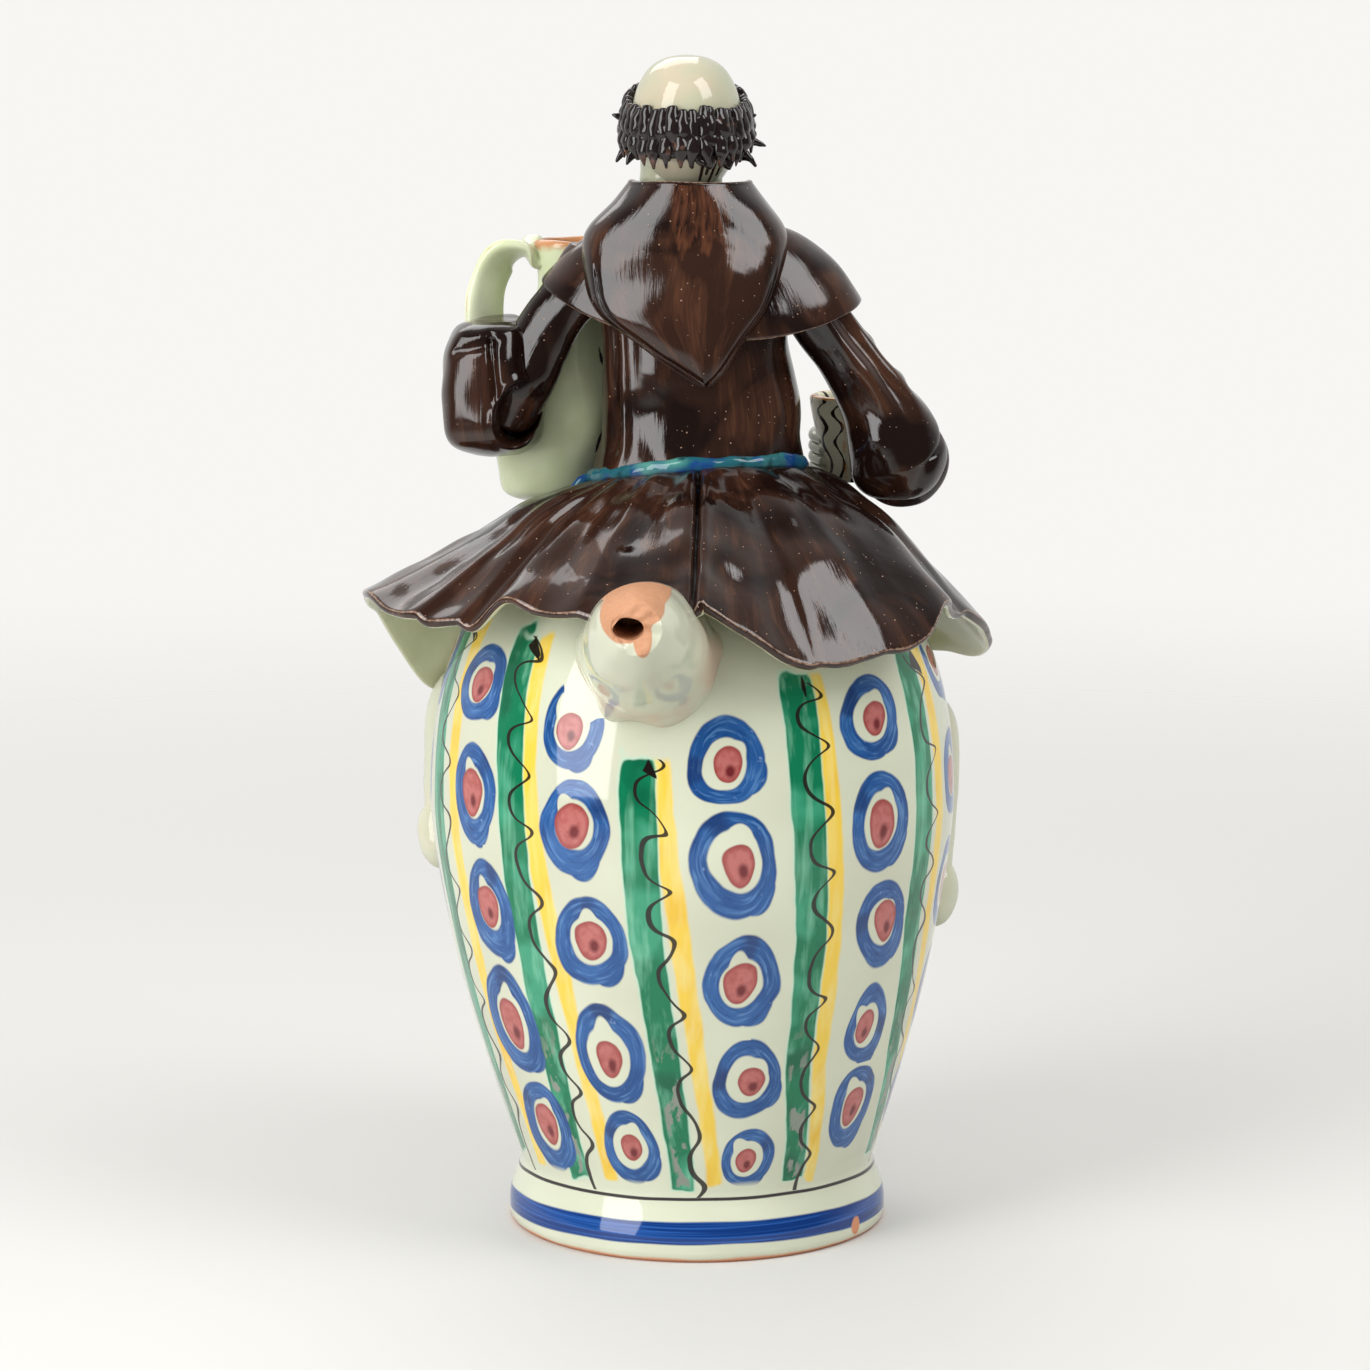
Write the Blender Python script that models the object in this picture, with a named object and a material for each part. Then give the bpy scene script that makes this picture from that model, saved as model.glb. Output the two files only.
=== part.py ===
"""A figural ceramic vase: a friar sitting astride an ovoid jar, joined in clay and fired as one piece.

Metres, +Z up. The origin is the centre of the flat underside, and the figure looks along -Y.
The jar is hollow, with one way in: the bore of the spout on its back shoulder.
"""

import math

import bmesh
import bpy
from mathutils import Vector

# The jar, turned on the wheel
JAR_HEIGHT = 0.212
JAR_WALL = 0.0050
JAR_FLOOR = 0.0070
FOOT_RADIUS = 0.0570
FOOT_BAND = 0.0060
WAIST_RADIUS = 0.0535
WAIST_HEIGHT = 0.0195
BELLY_RADIUS = 0.0788
BELLY_HEIGHT = 0.1300
BELLY_FULLNESS = 1.53
CROWN_FULLNESS = 2.2
CROWN_FLATNESS = 0.3155
JAR_LEAN = 0.0015

# The spout on the back shoulder, with its tip broken off
SPOUT_RADIUS = 0.0240
SPOUT_REACH = 0.0370
SPOUT_WALL = 0.0050
SPOUT_SIDE = 0.0135
SPOUT_HEIGHT = 0.1790
BORE_WIDTH = 0.0084
BORE_HEIGHT = 0.0062

# The rolled clay of the habit
SLAB = 0.0030

# The figure, from its seat on the jar's crown to the top of its head
FIGURE_HEIGHT = 0.140
SEAT_DEPTH = 0.0020
UNIT = FIGURE_HEIGHT / 140.0
SEAT = JAR_HEIGHT - SEAT_DEPTH

# The rope belt, in figure units
BELT_ROPE = 0.0038
BELT_HALF_WIDTH = 31.0
BELT_HALF_DEPTH = 25.0
BELT_HEIGHT = 17.2
BELT_TILT = 4.5
BELT_ROLL = 2.2

# The skirt's hem, in figure units: azimuth from the back towards the figure's left, reach past the
# jar's belly, and drop below the seat. It rises over the spout, and falls in lobes with a notch at
# each side.
HEM = (
    (0.0, 4.0, 10.0),
    (12.0, 4.5, 13.0),
    (24.0, 5.0, 16.0),
    (34.0, 3.5, 15.5),
    (43.0, 4.5, 12.5),
    (51.0, 9.0, 22.0),
    (62.0, 17.0, 20.0),
    (76.0, 21.0, 17.0),
    (97.0, 20.0, 24.0),
    (118.0, 13.0, 54.0),
    (140.0, 3.0, 46.0),
    (160.0, -2.0, 30.0),
    (180.0, -5.0, 20.0),
    (200.0, -2.0, 28.0),
    (222.0, 5.0, 42.0),
    (238.0, 12.0, 44.0),
    (250.0, 16.0, 40.0),
    (266.0, 9.0, 30.0),
    (286.0, 1.0, 19.0),
    (302.0, 6.0, 14.0),
    (311.0, 9.0, 22.5),
    (322.0, 8.0, 27.5),
    (333.0, 7.0, 27.0),
    (343.0, 5.5, 23.0),
    (352.0, 4.5, 16.0),
)

# The skirt's pleats, in degrees and figure units: azimuth, width and rise
PLEATS = (
    (25.0, 6.0, 1.2),
    (52.0, 4.0, 2.6),
    (60.0, 3.0, 1.6),
    (284.0, 7.0, -3.0),
    (322.0, 8.0, 2.0),
    (338.0, 4.0, -1.4),
)

# The slit at the middle of the back, in degrees and figure units
SLIT = -0.5
SLIT_WIDTH = 3.2
SLIT_DEPTH = 4.0

# The head in figure units: its middle, and its half width and half depth at each height
HEAD_X = 3.2
HEAD_Y = -1.5
HEAD_ROWS = (
    (140.0, 1.6, 1.8),
    (139.2, 6.0, 6.8),
    (136.8, 10.4, 11.8),
    (132.5, 13.6, 15.8),
    (127.0, 15.6, 18.0),
    (120.5, 16.4, 18.8),
    (114.0, 15.6, 18.2),
    (108.5, 13.4, 16.6),
    (104.0, 10.6, 14.0),
    (101.0, 7.4, 10.5),
    (99.6, 3.0, 5.0),
)
HAIR_LOCKS = 18

# The jug under the left arm and the cup in the right hand, with their feet in figure units
JUG_HEIGHT = 0.0770
JUG_RADIUS = 0.0185
JUG_NECK = 0.0100
JUG_RIM = 0.0125
JUG_WALL = 0.0025
JUG_LEAN = 0.0085
STRAP_WIDTH = 0.0140
STRAP_THICKNESS = 0.0044
CUP_HEIGHT = 0.0250
CUP_RADIUS = 0.0135
CUP_BASE = 0.0085
CUP_WALL = 0.0024
JUG_FOOT = (45.0, -24.0, 6.0)
CUP_FOOT = (-47.5, -24.0, 11.5)

# The legs that hang on the jar's sides
LEG_AZIMUTH = 116.0
LEG_RADIUS = 0.0095
FOOT_LENGTH = 0.0300

# How finely the forms are faceted
JAR_SIDES = 36
SKIRT_SIDES = 58
TUBE_SIDES = 10


def figure(x, y, z):
    """A point of the figure: 140 units from its seat to the top of its head."""
    return Vector((x, y, z)) * UNIT + Vector((0.0, 0.0, SEAT))


def ease(value):
    """0 to 1 with soft ends."""
    value = min(max(value, 0.0), 1.0)
    return value * value * (3.0 - 2.0 * value)


def bump(value, centre, width):
    """A soft hill one high."""
    return math.exp(-((value - centre) / width) ** 2)


def blend_rows(rows, i, t):
    """Reads a smooth curve through rows of numbers, a share t of the way from row i to the next."""
    before = rows[max(i - 1, 0)]
    start = rows[i]
    end = rows[i + 1]
    after = rows[min(i + 2, len(rows) - 1)]
    read = []
    for a, b, c, d in zip(before, start, end, after):
        read.append(b + 0.5 * t * (c - a + t * (2 * a - 5 * b + 4 * c - d + t * (3 * (b - c) + d - a))))
    return read


def curve_through(rows, count):
    """Reads count rows, evenly spaced, off the smooth curve through rows."""
    read = []
    for step in range(count):
        place = step / (count - 1) * (len(rows) - 1)
        i = min(int(place), len(rows) - 2)
        read.append(blend_rows(rows, i, place - i))
    return read


def read_around(rows, azimuth):
    """Reads rows that start with an azimuth, smoothly and all the way round."""
    azimuth = azimuth % 360.0
    after = [row for row in rows if row[0] > azimuth]
    i = rows.index(after[0]) if after else len(rows)
    wrapped = []
    for k in range(i - 2, i + 2):
        row = rows[k % len(rows)]
        wrapped.append((row[0] + 360.0 * (k // len(rows)),) + tuple(row[1:]))
    t = (azimuth - wrapped[1][0]) / (wrapped[2][0] - wrapped[1][0])
    return blend_rows(wrapped, 1, t)[1:]


def oval(centre, width, depth, sides, power=2.0, across=Vector((1, 0, 0)), up=Vector((0, 1, 0))):
    """A ring of points, round where power is 2 and squarer above it."""
    ring = []
    for i in range(sides):
        turn = 2.0 * math.pi * i / sides
        c = math.cos(turn)
        s = math.sin(turn)
        a = math.copysign(abs(c) ** (2.0 / power), c)
        b = math.copysign(abs(s) ** (2.0 / power), s)
        ring.append(centre + across * (a * width) + up * (b * depth))
    return ring


def grow(mesh, ring, points):
    """Extrudes an open ring of vertices and sets the new ring on the points."""
    edges = [mesh.edges.get((ring[i - 1], ring[i])) for i in range(len(ring))]
    made = bmesh.ops.extrude_edge_only(mesh, edges=edges)["geom"]
    new = {v for v in made if isinstance(v, bmesh.types.BMVert)}
    grown = []
    for vert, point in zip(ring, points):
        above = next(e.other_vert(vert) for e in vert.link_edges if e.other_vert(vert) in new)
        above.co = point
        grown.append(above)
    return grown


def solid_of(name, rings):
    """A closed solid through the rings, filled at both ends."""
    mesh = bmesh.new()
    ring = bmesh.ops.create_circle(mesh, segments=len(rings[0]), radius=1.0)["verts"]
    for vert, point in zip(ring, rings[0]):
        vert.co = point
    for points in rings[1:]:
        ring = grow(mesh, ring, points)
    bmesh.ops.holes_fill(mesh, edges=mesh.edges)
    bmesh.ops.recalc_face_normals(mesh, faces=mesh.faces)
    data = bpy.data.meshes.new(name)
    mesh.to_mesh(data)
    mesh.free()
    made = bpy.data.objects.new(name, data)
    bpy.context.scene.collection.objects.link(made)
    return made


def stack(name, rows, count, sides, power=2.0):
    """A solid of level ovals: each row is x, y, z, half width and half depth in figure units."""
    rings = []
    for x, y, z, width, depth in curve_through(rows, count):
        rings.append(oval(figure(x, y, z), width * UNIT, depth * UNIT, sides, power))
    return solid_of(name, rings)


def tube_rings(spots, sides, side_hint):
    """Rings square to a path: each spot is a centre, a half width and a half height in metres."""
    rings = []
    for i, (centre, width, height) in enumerate(spots):
        start = spots[max(i - 1, 0)][0]
        end = spots[min(i + 1, len(spots) - 1)][0]
        along = (end - start).normalized()
        up = along.cross(side_hint).normalized()
        across = up.cross(along)
        rings.append(oval(centre, width, height, sides, 2.0, across, up))
    return rings


def tube(name, rows, count, sides, side_hint=Vector((1, 0, 0)), round_start=0.0, round_end=0.0):
    """A limb along a path: each row is x, y, z, half width and half height in figure units."""
    spots = []
    for x, y, z, width, height in curve_through(rows, count):
        spots.append((figure(x, y, z), width * UNIT, height * UNIT))
    first = (spots[0][0] - spots[1][0]).normalized()
    last = (spots[-1][0] - spots[-2][0]).normalized()
    start_cap = []
    end_cap = []
    for share in (0.95, 0.7, 0.35):
        shrink = math.sqrt(1.0 - share * share)
        centre, width, height = spots[0]
        start_cap.append((centre + first * round_start * UNIT * share, width * shrink, height * shrink))
        centre, width, height = spots[-1]
        end_cap.append((centre + last * round_end * UNIT * share, width * shrink, height * shrink))
    if round_start:
        spots = start_cap + spots
    if round_end:
        spots = spots + end_cap[::-1]
    return solid_of(name, tube_rings(spots, sides, side_hint))


def turned(name, profile, centre, sides, lean=0.0):
    """A round solid: profile rows are radius and height above the centre, in metres. Lean is a slope."""
    rings = []
    for radius, height in profile:
        rings.append(oval(centre + Vector((-lean * height, 0, height)), radius, radius, sides))
    return solid_of(name, rings)


def jar_radius(height):
    """The jar's outer radius at a height: a flared foot, a waist, and a belly that closes to the crown."""
    if height < WAIST_HEIGHT:
        flare = ease((WAIST_HEIGHT - height) / (WAIST_HEIGHT - FOOT_BAND))
        return WAIST_RADIUS + (FOOT_RADIUS - WAIST_RADIUS) * flare
    if height < BELLY_HEIGHT:
        rise = (height - WAIST_HEIGHT) / (BELLY_HEIGHT - WAIST_HEIGHT)
        return WAIST_RADIUS + (BELLY_RADIUS - WAIST_RADIUS) * (1.0 - (1.0 - rise) ** BELLY_FULLNESS)
    rise = min((height - BELLY_HEIGHT) / (JAR_HEIGHT - BELLY_HEIGHT), 1.0)
    return BELLY_RADIUS * (1.0 - rise ** CROWN_FULLNESS) ** CROWN_FLATNESS


def jar_centre(height):
    """The jar's axis leans a little, as it was thrown."""
    return Vector((JAR_LEAN * ease(height / BELLY_HEIGHT), 0.0, height))


def on_jar(azimuth, height, out=0.0):
    """A point on the jar's wall, its azimuth in degrees from the back towards the figure's left."""
    turn = math.radians(azimuth)
    reach = jar_radius(height) + out
    return jar_centre(height) + Vector((reach * math.sin(turn), reach * math.cos(turn), 0.0))


def jar_heights():
    """The heights of the jar's rings: the foot, the waist, the belly and the crown."""
    heights = [0.0, FOOT_BAND, 0.5 * (FOOT_BAND + WAIST_HEIGHT), WAIST_HEIGHT]
    for i in range(1, 7):
        heights.append(WAIST_HEIGHT + (BELLY_HEIGHT - WAIST_HEIGHT) * i / 6)
    for i in range(1, 7):
        heights.append(BELLY_HEIGHT + (JAR_HEIGHT - BELLY_HEIGHT) * math.sin(0.47 * math.pi * i / 6))
    return heights


def make_jar():
    """The jar's outer form, with a narrow bevel where the foot meets the table."""
    bevel = 0.2 * FOOT_BAND
    rings = [oval(jar_centre(0.0), FOOT_RADIUS - bevel, FOOT_RADIUS - bevel, JAR_SIDES)]
    heights = jar_heights()
    heights[0] = bevel
    for height in heights:
        radius = jar_radius(height)
        rings.append(oval(jar_centre(height), radius, radius, JAR_SIDES))
    return solid_of("jar", rings)


def make_jar_inside():
    """The hollow of the jar: its outer form drawn in by the wall, over a flat floor."""
    rings = []
    inner_height = JAR_HEIGHT - JAR_FLOOR - JAR_WALL
    for share in (0.0, 0.08, 0.3, 0.55, 0.75, 0.88, 0.95, 1.0):
        height = JAR_FLOOR + inner_height * share
        outer = jar_radius(JAR_HEIGHT * (height / (JAR_HEIGHT - JAR_WALL)) ** 1.02 * 0.985)
        radius = max(outer - JAR_WALL, 0.15 * BELLY_RADIUS)
        rings.append(oval(jar_centre(height), radius, radius, 28))
    return solid_of("jar inside", rings)


def spout_spots(inset, shares):
    """Ovals along the spout, from inside the jar's shoulder out and a little up to its broken tip."""
    root = Vector((SPOUT_SIDE, BELLY_RADIUS * 0.70, SPOUT_HEIGHT))
    tip = root + Vector((0.10, 1.55, 0.50)) * SPOUT_REACH
    spots = []
    for share in shares:
        swell = math.sqrt(1.0 - (0.93 * max(share, 0.0)) ** 2.4)
        radius = max(SPOUT_RADIUS * swell - inset, 0.0)
        spots.append((root.lerp(tip, share), radius * 0.93, radius * 1.04))
    return spots


def make_spout():
    """The domed spout, luted over the jar's back shoulder."""
    shares = [i / 7.0 for i in range(7)] + [0.95, 1.0]
    return solid_of("spout", tube_rings(spout_spots(0.0, shares), 18, Vector((1, 0, 0))))


def make_spout_inside():
    """The hollow of the spout, as far as the wall at its tip."""
    shares = (-0.15, 0.15, 0.45, 0.62, 0.74)
    return solid_of("spout inside", tube_rings(spout_spots(SPOUT_WALL, shares), 12, Vector((1, 0, 0))))


def bore_centre():
    """The middle of the bore where it leaves the broken tip."""
    return spout_spots(0.0, [1.0])[0][0] + Vector((0.0020, 0.0, 0.0))


def make_bore():
    """The oval bore through the spout's tip, straight back into the jar."""
    mouth = bore_centre()
    rings = []
    for y in (mouth.y + SPOUT_WALL, 0.5 * BELLY_RADIUS):
        centre = Vector((mouth.x, y, mouth.z))
        half_width = BORE_WIDTH / 2
        half_height = BORE_HEIGHT / 2
        rings.append(oval(centre, half_width, half_height, 14, up=Vector((0, 0, 1))))
    return solid_of("bore", rings)


def belt_height(turn):
    """The belt rides up at the back and sits lowest at the figure's left."""
    return BELT_HEIGHT + BELT_TILT * math.cos(turn) - BELT_ROLL * math.sin(turn)


def skirt_point(azimuth, share, pleated=True):
    """A point of the skirt's outer face: share 0 is under the belt and 1 is the hem."""
    turn = math.radians(azimuth)
    reach, drop = read_around(HEM, azimuth)
    hem_radius = BELLY_RADIUS + reach * UNIT
    belt_radius = UNIT / math.hypot(math.sin(turn) / BELT_HALF_WIDTH, math.cos(turn) / BELT_HALF_DEPTH)
    bow = 1.5 - 0.25 * bump(azimuth % 360.0, 76.0, 40.0)
    radius = belt_radius + (hem_radius - belt_radius) * share
    top = belt_height(turn) - 0.4
    height = top - (top + drop) * max(share, 0.0) ** bow
    if pleated:
        for centre, width, rise in PLEATS:
            height += rise * ease(share * 1.6) * bump((azimuth - centre + 180.0) % 360.0, 180.0, width)
        height -= SLIT_DEPTH * ease(share * 2.0) * bump((azimuth - SLIT + 180.0) % 360.0, 180.0, SLIT_WIDTH)
        height += 0.7 * math.sin(9.0 * turn) * ease(share * 3.0) * (1.0 - share)
    return Vector((radius * math.sin(turn), radius * math.cos(turn), SEAT + height * UNIT))


def skirt_inner_point(azimuth, share):
    """The skirt's inner face: the outer one, set in by the slab's thickness."""
    here = skirt_point(azimuth, share, False)
    along = skirt_point(azimuth + 1.0, share, False) - here
    up = skirt_point(azimuth, share - 0.02, False) - here
    return skirt_point(azimuth, share) + along.cross(up).normalized() * SLAB


def make_skirt():
    """The flared skirt of the habit, a slab thrown over the jar's shoulder."""
    azimuths = [SLIT + 360.0 * i / SKIRT_SIDES for i in range(SKIRT_SIDES)]
    top = figure(0.0, 0.0, BELT_HEIGHT)
    under = figure(0.0, 0.0, 0.3 * BELT_HEIGHT)
    rings = [[top.lerp(skirt_point(a, 0.0), 0.15) for a in azimuths]]
    for share in (0.0, 0.25, 0.52, 0.78, 1.0):
        rings.append([skirt_point(a, share) for a in azimuths])
    for share in (0.985, 0.66, 0.3):
        rings.append([skirt_inner_point(a, share) for a in azimuths])
    rings.append([under.lerp(skirt_inner_point(a, 0.3), 0.15) for a in azimuths])
    return solid_of("skirt", rings)


def make_hips():
    """The seat, luted to the crown under the skirt."""
    rows = ((0, 0, -8, 40, 34), (0, 0, 0, 41, 35), (0, 0, 6, 37, 31), (0, 0, 14, 29, 23.5))
    return stack("hips", rows, 4, 22)


def make_torso():
    """The body of the habit from the belt to the shoulders."""
    rows = (
        (0.0, 0.0, 8.0, 30.6, 24.6),
        (0.0, 0.0, 17.0, 31.4, 25.2),
        (-1.2, -1.0, 27.0, 29.8, 24.4),
        (-1.2, -1.0, 38.0, 29.5, 23.5),
        (0.8, 0.0, 56.0, 27.5, 22.0),
        (1.0, 0.0, 70.0, 29.0, 20.5),
        (1.0, 0.0, 82.0, 29.0, 19.0),
        (1.5, 0.0, 92.0, 20.0, 16.0),
    )
    return stack("torso", rows, 8, 22, 2.25)


def make_belt():
    """The rope belt: low in front and high at the back, with its knot and two ends in front."""
    forms = []
    sides = 26
    rings = []
    for i in range(sides):
        turn = 2.0 * math.pi * i / sides
        outward = Vector((math.sin(turn), math.cos(turn), 0.0))
        centre = figure(BELT_HALF_WIDTH * outward.x, BELT_HALF_DEPTH * outward.y, belt_height(turn))
        rings.append(oval(centre, BELT_ROPE / 2, BELT_ROPE / 2, 5, 2.0, outward, Vector((0, 0, 1))))
    forms.append(looped("belt", rings))
    for side, reach in ((-1, 51.0), (1, 50.4)):
        rows = (
            (0, -25, 13, 2.2, 2.2),
            (4 * side, -29, 11, 2.0, 2.0),
            (6 * side, -36, 7, 1.9, 1.9),
            (8 * side, -43, 2, 1.9, 1.9),
            (9 * side, -reach, -4, 2.6, 2.6),
        )
        forms.append(tube("belt end", rows, 5, 5, Vector((1, 0, 0)), 0.0, 2.0))
    return forms


def looped(name, rings):
    """A closed loop of rings."""
    mesh = bmesh.new()
    loops = []
    for points in rings:
        ring = bmesh.ops.create_circle(mesh, segments=len(points), radius=1.0)["verts"]
        for vert, point in zip(ring, points):
            vert.co = point
        loops.append(ring)
    for i, ring in enumerate(loops):
        before = loops[i - 1]
        for k in range(len(ring)):
            mesh.faces.new((before[k - 1], before[k], ring[k], ring[k - 1]))
    bmesh.ops.recalc_face_normals(mesh, faces=mesh.faces)
    data = bpy.data.meshes.new(name)
    mesh.to_mesh(data)
    mesh.free()
    made = bpy.data.objects.new(name, data)
    bpy.context.scene.collection.objects.link(made)
    return made


def cape_point(azimuth, share, inset):
    """A point of the shoulder cape, from the neck, share 0, to its hem, share 1."""
    turn = math.radians(azimuth)
    spread = share ** 0.85
    left = math.sin(turn)
    width = 14.0 + (33.3 - 1.3 * left) * spread - inset
    depth = 12.0 + 14.5 * spread - inset
    fall = (19.5 - 3.0 * left) * share ** 2.2 + 12.0 * share * abs(math.cos(turn)) ** 1.6
    x = math.copysign(abs(left) ** 0.9, left) * width
    y = math.copysign(abs(math.cos(turn)) ** 0.9, math.cos(turn)) * depth
    return figure(x, y, 91.0 - fall - 0.6 * inset)


def make_cape():
    """The short cape over the shoulders, a slab with its hem standing clear of the sleeves."""
    azimuths = [360.0 * i / 26 for i in range(26)]
    inset = SLAB / UNIT
    rings = []
    for share in (0.1, 0.4, 0.65, 0.85, 1.0):
        rings.append([cape_point(a, share, 0.0) for a in azimuths])
    for share in (0.99, 0.72):
        rings.append([cape_point(a, share, inset) for a in azimuths])
    return solid_of("cape", rings)


def make_hood():
    """The hood thrown back: a collar round the neck that hangs as a full pointed bag behind."""
    rows = (
        (2.0, 1.0, 103.0, 18.4, 15.0),
        (2.4, 3.0, 97.5, 22.5, 18.0),
        (3.0, 5.5, 91.0, 28.0, 21.0),
        (3.2, 8.0, 85.5, 30.2, 21.0),
        (3.6, 11.5, 77.0, 29.0, 18.5),
        (4.2, 15.5, 67.0, 24.0, 14.5),
        (1.6, 19.5, 57.0, 15.0, 10.5),
        (-0.8, 22.5, 50.5, 8.0, 6.5),
        (-2.1, 24.5, 46.0, 2.4, 3.0),
    )
    rim = SLAB / UNIT * 0.8
    rings = []
    for z in (98.0, 103.0):
        rings.append(oval(figure(2.0, 1.0, z), (18.4 - rim) * UNIT, (15.0 - rim) * UNIT, 20))
    for x, y, z, width, depth in curve_through(rows, 10):
        rings.append(oval(figure(x, y, z), width * UNIT, depth * UNIT, 20, 2.15))
    return solid_of("hood", rings)


def make_neck():
    """The neck, a little to the figure's left in the collar."""
    rows = ((4.4, 0.0, 94.0, 12.0, 10.6), (4.8, 0.0, 104.0, 12.2, 10.8), (4.8, -0.5, 112.0, 11.5, 12.0))
    return stack("neck", rows, 3, 16)


def face_relief(turn, height):
    """How far the calm, plain face stands out of the skull, in figure units."""
    off = abs((turn - 1.5 * math.pi + math.pi) % (2.0 * math.pi) - math.pi)
    nose = 4.2 * bump(height, 113.0, 2.6) + 2.4 * bump(height, 116.5, 3.6)
    relief = nose * bump(off, 0.0, 0.16)
    relief += 0.9 * bump(height, 123.0, 2.2) * bump(off, 0.0, 0.75)
    relief -= 1.4 * bump(height, 119.5, 2.2) * bump(off, 0.36, 0.17)
    relief += 1.0 * bump(height, 107.6, 1.7) * bump(off, 0.0, 0.26)
    relief += 1.8 * bump(height, 102.6, 2.4) * bump(off, 0.0, 0.34)
    return relief


def make_head():
    """The bald head, with the relief of a plain face."""
    sides = 24
    rings = []
    for z, width, depth in curve_through(HEAD_ROWS, 11):
        ring = []
        for i in range(sides):
            even = 2.0 * math.pi * i / sides
            turn = even + 0.42 * math.cos(even)
            out = face_relief(turn, z)
            x = HEAD_X + math.cos(turn) * (width + out)
            y = HEAD_Y + math.sin(turn) * (depth + out)
            ring.append(figure(x, y, z))
        rings.append(ring)
    return solid_of("head", rings)


def make_hair():
    """The ring of hair round the crown, in thick pointed locks."""
    rings = [[] for _ in range(6)]
    for i in range(2 * HAIR_LOCKS):
        turn = math.pi * i / HAIR_LOCKS
        crest = 1.0 if i % 2 else 0.0
        wander = math.sin(5.0 * turn) + 0.6 * math.sin(11.0 * turn + 1.0)
        behind = ease(0.5 + 0.5 * math.sin(turn))
        top = 127.0 + 1.2 * crest + 0.8 * wander
        bottom = 117.5 - 8.0 * behind - 2.4 * crest + 0.8 * wander
        out = 4.3 + 1.9 * crest + 0.6 * wander
        section = ((0.0, -3.0), (0.03, 1.2), (0.3, 0.75 * out), (0.7, out), (1.0, 0.8 * out), (0.9, -3.0))
        for k, (share, reach) in enumerate(section):
            z = top + (bottom - top) * share
            x = HEAD_X + math.cos(turn) * (16.0 + reach)
            y = HEAD_Y + math.sin(turn) * (18.4 + reach)
            rings[k].append(figure(x, y, z))
    return solid_of("hair", rings)


def make_left_arm():
    """The left sleeve: a narrow upper arm that ends in a deep turned bag, and the forearm round the jug."""
    upper = (
        (30.0, 0.0, 79.0, 9.0, 9.0),
        (38.0, 0.5, 69.0, 8.2, 8.0),
        (46.5, 1.0, 56.0, 8.4, 8.4),
        (52.5, 0.5, 44.0, 9.4, 10.4),
        (57.0, -3.0, 35.0, 11.0, 13.0),
    )
    bag = (
        (60.5, 5.0, 41.0, 13.0, 17.0),
        (60.3, -4.0, 41.5, 15.6, 20.0),
        (59.0, -18.0, 41.0, 14.0, 18.5),
        (57.0, -32.0, 38.0, 11.5, 14.5),
    )
    wrist = (
        (58.0, -28.0, 37.0, 8.0, 8.0),
        (53.0, -39.0, 37.0, 6.0, 6.5),
        (45.0, -44.0, 38.0, 5.0, 6.5),
        (37.0, -44.5, 38.5, 3.6, 6.5),
    )
    forms = [tube("left upper sleeve", upper, 6, TUBE_SIDES, Vector((0, 1, 0)))]
    forms.append(tube("left sleeve bag", bag, 4, 16, Vector((1, 0, 0)), 5.0, 0.0))
    forms.append(tube("left hand", wrist, 4, 8, Vector((0, 0, 1)), 0.0, 3.0))
    for finger in range(4):
        z = 43.0 - 3.4 * finger
        rows = (
            (38.0, -44.5, z, 2.0, 2.0),
            (31.0, -42.0, z - 0.5, 1.8, 1.8),
            (26.5, -36.5, z - 1.0, 1.6, 1.6),
        )
        forms.append(tube("left finger", rows, 3, 5, Vector((0, 0, 1)), 0.0, 0.8))
    return forms


def make_right_arm():
    """The right sleeve, full at the elbow, and the hand that holds the cup."""
    upper = (
        (-26.0, 0.0, 77.0, 9.0, 9.0),
        (-32.0, 0.5, 68.0, 9.8, 9.5),
        (-42.5, 1.0, 52.0, 9.7, 9.5),
        (-53.5, 1.0, 36.0, 10.2, 10.4),
        (-60.0, -3.0, 22.0, 13.6, 13.6),
    )
    fore = (
        (-61.0, 2.0, 20.5, 14.0, 14.5),
        (-60.5, -8.0, 20.0, 14.0, 14.0),
        (-58.5, -20.0, 18.0, 12.0, 12.0),
        (-56.0, -30.0, 16.5, 10.5, 10.5),
    )
    wrist = (
        (-57.0, -26.0, 17.0, 6.5, 6.5),
        (-55.0, -36.0, 18.0, 5.5, 6.0),
        (-48.0, -40.5, 20.0, 5.0, 6.5),
        (-42.0, -39.0, 21.0, 4.0, 6.5),
    )
    forms = [tube("right upper sleeve", upper, 7, TUBE_SIDES, Vector((0, 1, 0)))]
    forms.append(tube("right forearm sleeve", fore, 4, 16, Vector((1, 0, 0)), 12.0, 0.0))
    forms.append(tube("right hand", wrist, 4, 8, Vector((0, 0, 1)), 0.0, 2.0))
    for finger in range(4):
        z = 25.5 - 3.2 * finger
        rows = (
            (-43.0, -39.0, z, 2.0, 2.0),
            (-37.0, -34.5, z - 0.3, 1.9, 1.9),
            (-35.5, -27.0, z - 0.8, 1.8, 1.8),
            (-38.0, -20.0, z - 1.4, 1.6, 1.6),
        )
        forms.append(tube("right finger", rows, 3, 5, Vector((0, 0, 1)), 0.0, 0.8))
    return forms


def jug_profile(inset):
    """The jug from its foot to its rim, as radius and height."""
    waist = JUG_RADIUS * 0.62
    rows = (
        (waist, 0.0),
        (JUG_RADIUS * 0.86, 0.13 * JUG_HEIGHT),
        (JUG_RADIUS, 0.32 * JUG_HEIGHT),
        (JUG_RADIUS * 0.92, 0.5 * JUG_HEIGHT),
        (JUG_NECK * 1.2, 0.7 * JUG_HEIGHT),
        (JUG_NECK, 0.82 * JUG_HEIGHT),
        (JUG_RIM, JUG_HEIGHT),
    )
    return [(radius - inset, height) for radius, height in curve_through(rows, 9)]


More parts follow.
